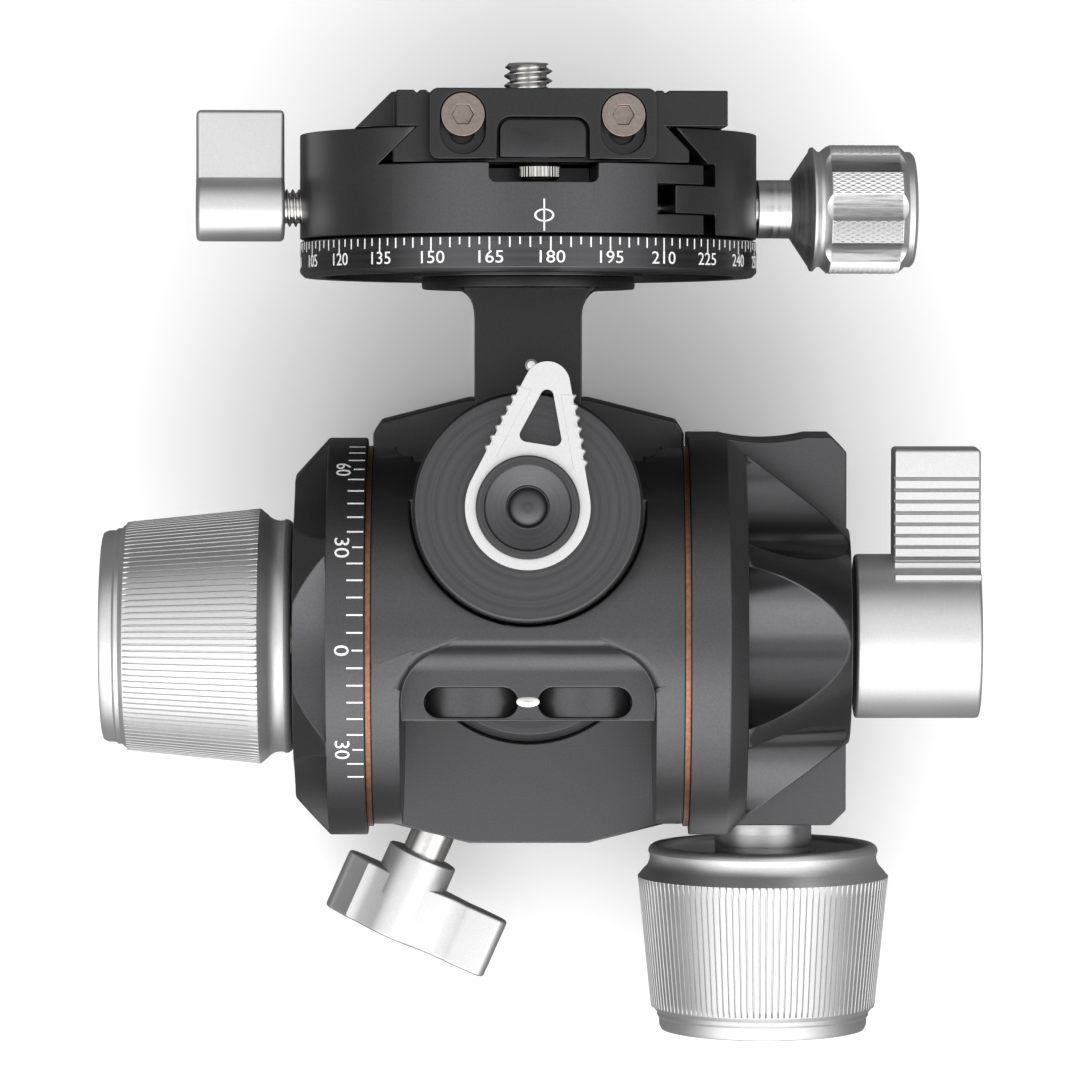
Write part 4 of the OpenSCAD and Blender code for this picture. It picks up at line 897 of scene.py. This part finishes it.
class HEAD_OT_scale_ring(bpy.types.Operator):
    """Degree ring under the clamp, with its marks"""

    bl_idname = "head.scale_ring"
    bl_label = "Scale Ring"

    def execute(self, context):
        ring = turned("degree_ring", [
            (9.0, 47.1), (15.0, 47.1), (15.0, 48.3), (20.5, 48.3), (20.7, 48.1), (21.3, 48.1), (21.5, 48.3),
            (27.0, 48.3), (27.0, 47.1), (29.4, 47.1), (SCALE_R, 47.7), (SCALE_R, 51.6), (29.8, 51.8),
            (9.0, 51.8)], 192)
        break_edges(ring, 0.1, angle=25)
        settle(ring, STAGE)
        dress(ring, turned_black("ring", STAGE), "scale_ring")

        half_w, top, number_z = 0.1, 51.55, 48.25
        # Marks every 15 degrees, the two between them every 5, and the short ones half way between those
        rows = ((1.75, 24, 0, 15), (1.3, 24, 5, 15), (1.3, 24, 10, 15), (0.95, 72, 2.5, 5))
        marks = []
        for length, count, first, step in rows:
            mark = scale_mark(SCALE_R, half_w, top, length, SCALE_START + first)
            marks.append(copy_round(mark, count, step))
        for degree in range(0, 360, 15):
            marks.append(wrapped_number(str(degree), SCALE_R, SCALE_START + degree - 180, number_z))
        scale = gather("degree_marks", *marks)
        settle(scale, STAGE)
        add_to(scale, scale_paint(), "scale_ring")
        return {"FINISHED"}


class HEAD_OT_tilt_scale(bpy.types.Operator):
    """Tilt scale on the left cheek"""

    bl_idname = "head.tilt_scale"
    bl_label = "Tilt Scale"

    def execute(self, context):
        radius, half_w, top, number_z, number_share = 26.1, 0.11, -21.2, -24.85, 1.2
        marks = [scale_mark(radius, half_w, top, 1.4 if degree % 30 == 0 else 2.1, -degree)
                 for degree in range(-40, 80, 5)]
        marks += [wrapped_number(str(abs(degree)), radius, -degree, number_z, number_share)
                  for degree in (-30, 0, 30, 60)]
        scale = gather("tilt_marks", *marks)
        settle(scale, TILT_CENTRE @ TOWARD_X @ spun(-90, "Z"))
        add_to(scale, scale_paint(), "left_cheek")
        return {"FINISHED"}


class HEAD_OT_clamp(bpy.types.Operator):
    """Panning clamp with its sliding jaw"""

    bl_idname = "head.clamp"
    bl_label = "Clamp"

    def execute(self, context):
        recast("clamp_body", "dovetail_clamp", blasted_black(), edge=0.18)
        recast("moving_jaw", "sliding_jaw", blasted_black(), edge=0.18)
        return {"FINISHED"}


class HEAD_OT_index(bpy.types.Operator):
    """Index mark over the degree ring"""

    bl_idname = "head.index"
    bl_label = "Index Mark"

    def execute(self, context):
        inner, outer, sunk, thick = 0.72, 0.92, 0.05, sizes().mark_depth
        ring_z, wider, flatter = 54.3, 1.4, 0.9
        line = scale_mark(SCALE_R, half_w=0.1, top=56.4, length=4.1)
        ring = turned("ring", [(inner, -sunk), (outer, -sunk), (outer, thick), (inner, thick)], 48)
        settle(ring, moved(0, -SCALE_R, ring_z) @ TOWARD_FRONT @ Matrix.Diagonal((wider, flatter, 1, 1)))
        index = gather("index_mark", line, ring)
        settle(index, CLAMP)
        add_to(index, scale_paint(), "clamp_body")
        return {"FINISHED"}


class HEAD_OT_clamp_knob(bpy.types.Operator):
    """Scalloped and knurled clamp knob on its collar"""

    bl_idname = "head.clamp_knob"
    bl_label = "Clamp Knob"

    radius = 8.7

    def execute(self, context):
        bore_r, neck_r, flange_r, start_z, end_z = 2.52, 3.85, 7.9, 30.15, 37.35
        collar = turned("knob_collar", [(bore_r, start_z), (neck_r, start_z), (neck_r, 34.5), (4.5, 34.9),
                                        (flange_r, 37.2), (flange_r, end_z), (bore_r, end_z)], 96)
        break_edges(collar, 0.12, angle=40)
        settle(collar, JAW_SCREW)
        dress(collar, turned_silver("clamp knob", JAW_SCREW), "clamp_collar")

        land = self.knurl(39.5, 48.7)
        core = turned("grip_core", [
            (0, 37.2), (8.15, 37.2), (8.2, 37.5), (7.6, 38.1), (7.6, 38.5), (8.45, 39.4), (8.45, 48.8),
            (7.6, 49.7), (7.6, 50.4), (7.2, 50.8), (5.0, 50.95), (0, 51.0)], 128)
        count, scallop_r, scallop_depth, scallop_low, scallop_high = 8, 3.2, 0.9, 37.9, 51.5
        cutters = []
        for i in range(count):
            cutter = rod("scallop", scallop_r, scallop_low, scallop_high, 48)
            settle(cutter, spun(360 / count * i, "Z") @ moved(self.radius + scallop_r - scallop_depth, 0, 0))
            cutters.append(cutter)
        cutter = gather("scallops", *cutters)
        spare = cutter.copy()
        spare.data = cutter.data.copy()
        bpy.context.collection.objects.link(spare)
        cut_away(land, cutter)
        cut_away(core, spare)
        knob = gather("scalloped_knob", core, land)
        settle(knob, JAW_SCREW)
        dress(knob, blasted_silver(), "clamp_knob", smooth=20)
        return {"FINISHED"}

    def knurl(self, low, high):
        """A ring of small pyramids: its vertices alternate between crests and crossings of the grooves."""
        across, rows, wall, depth, skin = 88, 14, 1.6, 0.2, 0.5
        side = [(self.radius, low + (high - low) * i / rows) for i in range(rows + 1)]
        ring = turned("knurl", [(self.radius - wall, low), *side, (self.radius - wall, high)], 2 * across)
        draw_in(ring, 2 * across, depth / self.radius, lambda step, radius, z: (
            radius > self.radius - skin and (step + round((z - low) / (high - low) * rows)) % 2 == 0))
        with editing(ring, "SELECT"):
            bpy.ops.mesh.quads_convert_to_tris(quad_method="SHORTEST_DIAGONAL")
        return ring


class HEAD_OT_top_lock(bpy.types.Operator):
    """Thumb tab that locks the clamp's pan, and its screw"""

    bl_idname = "head.top_lock"
    bl_label = "Top Lock"

    def execute(self, context):
        base_r, bore_r, width, bore_end = 4.4, 2.5, 11.5, 6.0
        base = turned("tab_base", [(0, 0), (base_r, 0), (base_r, width), (bore_r, width), (bore_r, bore_end),
                                   (0, bore_end)], 64)
        break_edges(base, 0.6, segments=3, angle=60)
        blade = [(-12.8, 1.5), (-12.8, -1.5), (0, -2.2), (3.0, -1.6), (3.0, 1.6), (0, 2.2)]
        tab = break_edges(milled("tab_blade", blade, 0, width), 0.6, segments=3, angle=40)
        tab = gather("thumb_tab", tab, base)
        tab_x = -43.6
        settle(tab, CLAMP @ moved(tab_x, 0, SIDE_SCREW_RISE) @ TOWARD_X)
        dress(tab, blasted_silver(), "top_lock_tab")

        root_r = 2.0
        thread = threaded("tab_thread", 2.48, pitch=0.8, z0=27.0, z1=33.0, chamfer=0.3)
        screw = gather("tab_screw", thread, rod("tab_shank", root_r, 12.1, 27.5, 32),
                       rod("tab_root", root_r, 32.5, 37.0, 32))
        settle(screw, raised(CLAMP, SIDE_SCREW_RISE) @ spun(-90, "Y"))
        dress(screw, turned_steel(), "top_lock_screw", smooth=25)
        return {"FINISHED"}


class HEAD_OT_plate(bpy.types.Operator):
    """Camera plate, its lip, screws and camera stud"""

    bl_idname = "head.plate"
    bl_label = "Camera Plate"

    def execute(self, context):
        # Painted shade: the plate and its lip take the darkened copy of the black.
        recast("camera_plate", "dovetail_plate", deep_black(), edge=0.16)
        recast("plate_lip", "sliding_lip", deep_black(), edge=0.22)
        recast("lip_screws", "lip_bolts", plated_steel(), edge=0.14)
        self.boss()
        self.camera_screw()
        self.stops()
        return {"FINISHED"}

    def boss(self):
        """Raised end of the plate that fills the lip's arch."""
        radius, half_w, low, high, back, front = 1.5, 5.55, 61.75, 66.65, 24.9, 28.1
        corner_x, corner_z = half_w - radius, high - radius
        outline = arcs((corner_x, corner_z, radius, 0, 90, 8), (-corner_x, corner_z, radius, 90, 180, 8))
        boss = milled("arch_boss", outline + [(-half_w, low), (half_w, low)], back, front)
        break_edges(boss, 0.25)
        settle(boss, CLAMP @ TOWARD_FRONT)
        # Painted shade: the boss takes the darkened copy of the black, as the plate does.
        add_to(boss, deep_black(), "camera_plate")

    def camera_screw(self):
        """Camera screw with its thread and its slotted head."""
        head_r, shank_r, head_low, head_high, shank_end = 7.4, 2.9, 61.3, 64.1, 70.7
        slot_half_w, slot_floor = 0.7, 62.5
        stud = threaded("camera_stud", 3.17, pitch=1.27, z0=70.5, z1=75.3, chamfer=0.6)
        settle(stud, CLAMP)
        shank = turned("stud_shank", [(0, head_low), (head_r, head_low), (head_r, head_high),
                                      (shank_r, head_high), (shank_r, shank_end), (0, shank_end)], 64)
        cut_away(shank, block("coin_slot", (-9, -slot_half_w, 60), (9, slot_half_w, slot_floor)))
        break_edges(shank, 0.2)
        settle(shank, CLAMP)
        dress(gather("threaded_camera_screw", stud, shank), turned_steel(), "camera_screw", smooth=25)

    def stops(self):
        """The two stop screws with their knurled heads."""
        head_r, low, high, flutes, flute_depth, stop_y = 2.68, 59.02, 61.28, 36, 0.05, 21
        outline = [(0, low), (2.1, low), (head_r, 59.5), (head_r, 60.8), (2.2, high), (0, high)]
        heads = []
        for side in (-1, 1):
            head = draw_in(turned("stop_head", outline, 4 * flutes), 4 * flutes, flute_depth,
                           lambda step, radius, z: step % 4 == 0 and 59.2 < z < 61.1)
            shank = rod("stop_shank", 1.43, 61.1, 64.6, 32)
            cut_away(head, rod("socket", 1.35, 58.5, 60.2, 6))
            heads += [settle(piece, moved(0, stop_y * side, 0)) for piece in (head, shank)]
        stops = settle(gather("knurled_stops", *heads), CLAMP)
        dress(stops, turned_steel(), "stop_screws", smooth=20)


class HEAD_OT_running_gear(bpy.types.Operator):
    """Metal finishes for the worms, wheels, shafts and bushes inside"""

    bl_idname = "head.running_gear"
    bl_label = "Running Gear"

    def execute(self, context):
        finish_of = {"steel": turned_steel, "bronze": bearing_bronze, "black_anodised": blasted_black,
                     "silver_anodised": blasted_silver}
        for node, piece in frame["nodes"].items():
            if not piece.hide_render:
                coat(piece, finish_of[SLOT_OF[node]]())
        return {"FINISHED"}


class HEAD_OT_stage(bpy.types.Operator):
    """Pale floor, soft lamp, soft room and the camera"""

    bl_idname = "head.stage"
    bl_label = "Stage"

    def execute(self, context):
        self.floor()
        self.lamp()
        context.scene.world = self.room()
        context.scene.camera = self.camera()
        context.scene.view_settings.view_transform = "Standard"
        return {"FINISHED"}

    def floor(self):
        """Floor that is pale to the camera but throws little light back at the head's sides."""
        gap, bounce = 0.2, 0.12
        deselect()
        bpy.ops.mesh.primitive_plane_add(size=6, location=(0, 0, CAD_BOX[0].z - gap * MM))
        floor = start("floor")
        finish = bpy.data.materials.new("Pale floor")
        finish.use_nodes = True
        shader = finish.node_tree.nodes["Principled BSDF"]
        shader.inputs["Roughness"].default_value = 0.9
        seen = wire_up(finish.node_tree, "ShaderNodeLightPath").outputs["Is Camera Ray"]
        shade = tinted(finish.node_tree, seen, scaled(colours().floor, bounce), colours().floor)
        finish.node_tree.links.new(shade, shader.inputs["Base Color"])
        floor.data.materials.append(finish)

    def lamp(self):
        """Wide lamp over the head, aimed at its middle."""
        middle = Vector((0, 0.02, 0.045))
        bpy.ops.object.light_add(type="AREA", location=(0, -0.3, 2.4))
        lamp = bpy.context.object
        lamp.name = "soft_lamp"
        lamp.data.size = 1.2
        lamp.data.energy = 2.2
        lamp.rotation_euler = (middle - lamp.location).to_track_quat("-Z", "Y").to_euler()

    def room(self):
        """Room that lights from above, strongest short of the zenith, and from low down on the near side."""
        world = bpy.data.worlds.new("Soft room")
        world.use_nodes = True
        tree = world.node_tree
        tree.nodes.clear()
        around = wire_up(tree, "ShaderNodeTexCoord").outputs["Generated"]
        apart = wire_up(tree, "ShaderNodeSeparateXYZ", {0: around}).outputs
        rise = wire_up(tree, "ShaderNodeValToRGB", {0: apart["Z"]})
        stops = ((0.0, 0.04), (0.3, 0.3), (0.6, 1.2), (0.93, 1.55), (0.985, 0.6), (1.0, 0.5))
        while len(rise.color_ramp.elements) < len(stops):
            rise.color_ramp.elements.new(0.5)
        for element, (place, value) in zip(rise.color_ramp.elements, stops):
            element.position = place
            element.color = (value, value, value, 1)
        side, near = (wire_up(tree, "ShaderNodeMapRange", {
            "Value": apart["Y"], "From Min": -1.0, "From Max": end, "To Min": front,
            "To Max": back}).outputs[0] for end, front, back in ((1.0, 1.8, 0.5), (-0.1, 1.3, 0.0)))
        level = sum_up(tree, "MULTIPLY_ADD", rise.outputs["Color"], side, near)
        room = wire_up(tree, "ShaderNodeBackground", {"Color": (1, 1, 1, 1), "Strength": level})
        wire_up(tree, "ShaderNodeOutputWorld", {"Surface": room.outputs[0]})
        return world

    def camera(self):
        """Camera at the photograph's angle, about a metre above the tripod's mouth."""
        place = Vector((1.55, 71.91, 1043.49)) * MM
        bpy.ops.object.camera_add(location=place, rotation=(radians(-3.4), 0, 0))
        camera = bpy.context.object
        camera.data.sensor_fit = "HORIZONTAL"
        camera.data.lens = 253.33
        camera.data.clip_start = 0.02
        camera.data.clip_end = 20
        return camera


class HEAD_PT_panel(bpy.types.Panel):
    """Buttons for the head's pieces"""

    bl_label = "Tripod Head"
    bl_space_type = "VIEW_3D"
    bl_region_type = "UI"
    bl_category = "Tripod Head"

    def draw(self, context):
        for settings in (context.scene.head_sizes, context.scene.head_colours):
            box = self.layout.box()
            for name in settings.bl_rna.properties.keys():
                if name not in ("rna_type", "name"):
                    box.prop(settings, name)
        for piece in PIECES:
            self.layout.operator(piece.bl_idname)


PIECES = (HEAD_OT_foot, HEAD_OT_pan_block, HEAD_OT_cheeks, HEAD_OT_tilt_scale, HEAD_OT_barrel,
          HEAD_OT_roll_cover, HEAD_OT_roll_lever, HEAD_OT_drive_knobs, HEAD_OT_tilt_lever, HEAD_OT_pan_lock,
          HEAD_OT_neck, HEAD_OT_scale_ring, HEAD_OT_clamp, HEAD_OT_index, HEAD_OT_clamp_knob,
          HEAD_OT_top_lock, HEAD_OT_plate, HEAD_OT_running_gear, HEAD_OT_stage)


def register():
    for made in (HeadSizes, HeadColours, *PIECES, HEAD_PT_panel):
        bpy.utils.register_class(made)
    bpy.types.Scene.head_sizes = PointerProperty(type=HeadSizes)
    bpy.types.Scene.head_colours = PointerProperty(type=HeadColours)


def unregister():
    del bpy.types.Scene.head_colours
    del bpy.types.Scene.head_sizes
    for made in reversed((HeadSizes, HeadColours, *PIECES, HEAD_PT_panel)):
        bpy.utils.unregister_class(made)


def main():
    register()
    for piece in PIECES:
        group, name = piece.bl_idname.split(".")
        getattr(getattr(bpy.ops, group), name)()


if __name__ == "__main__":
    main()
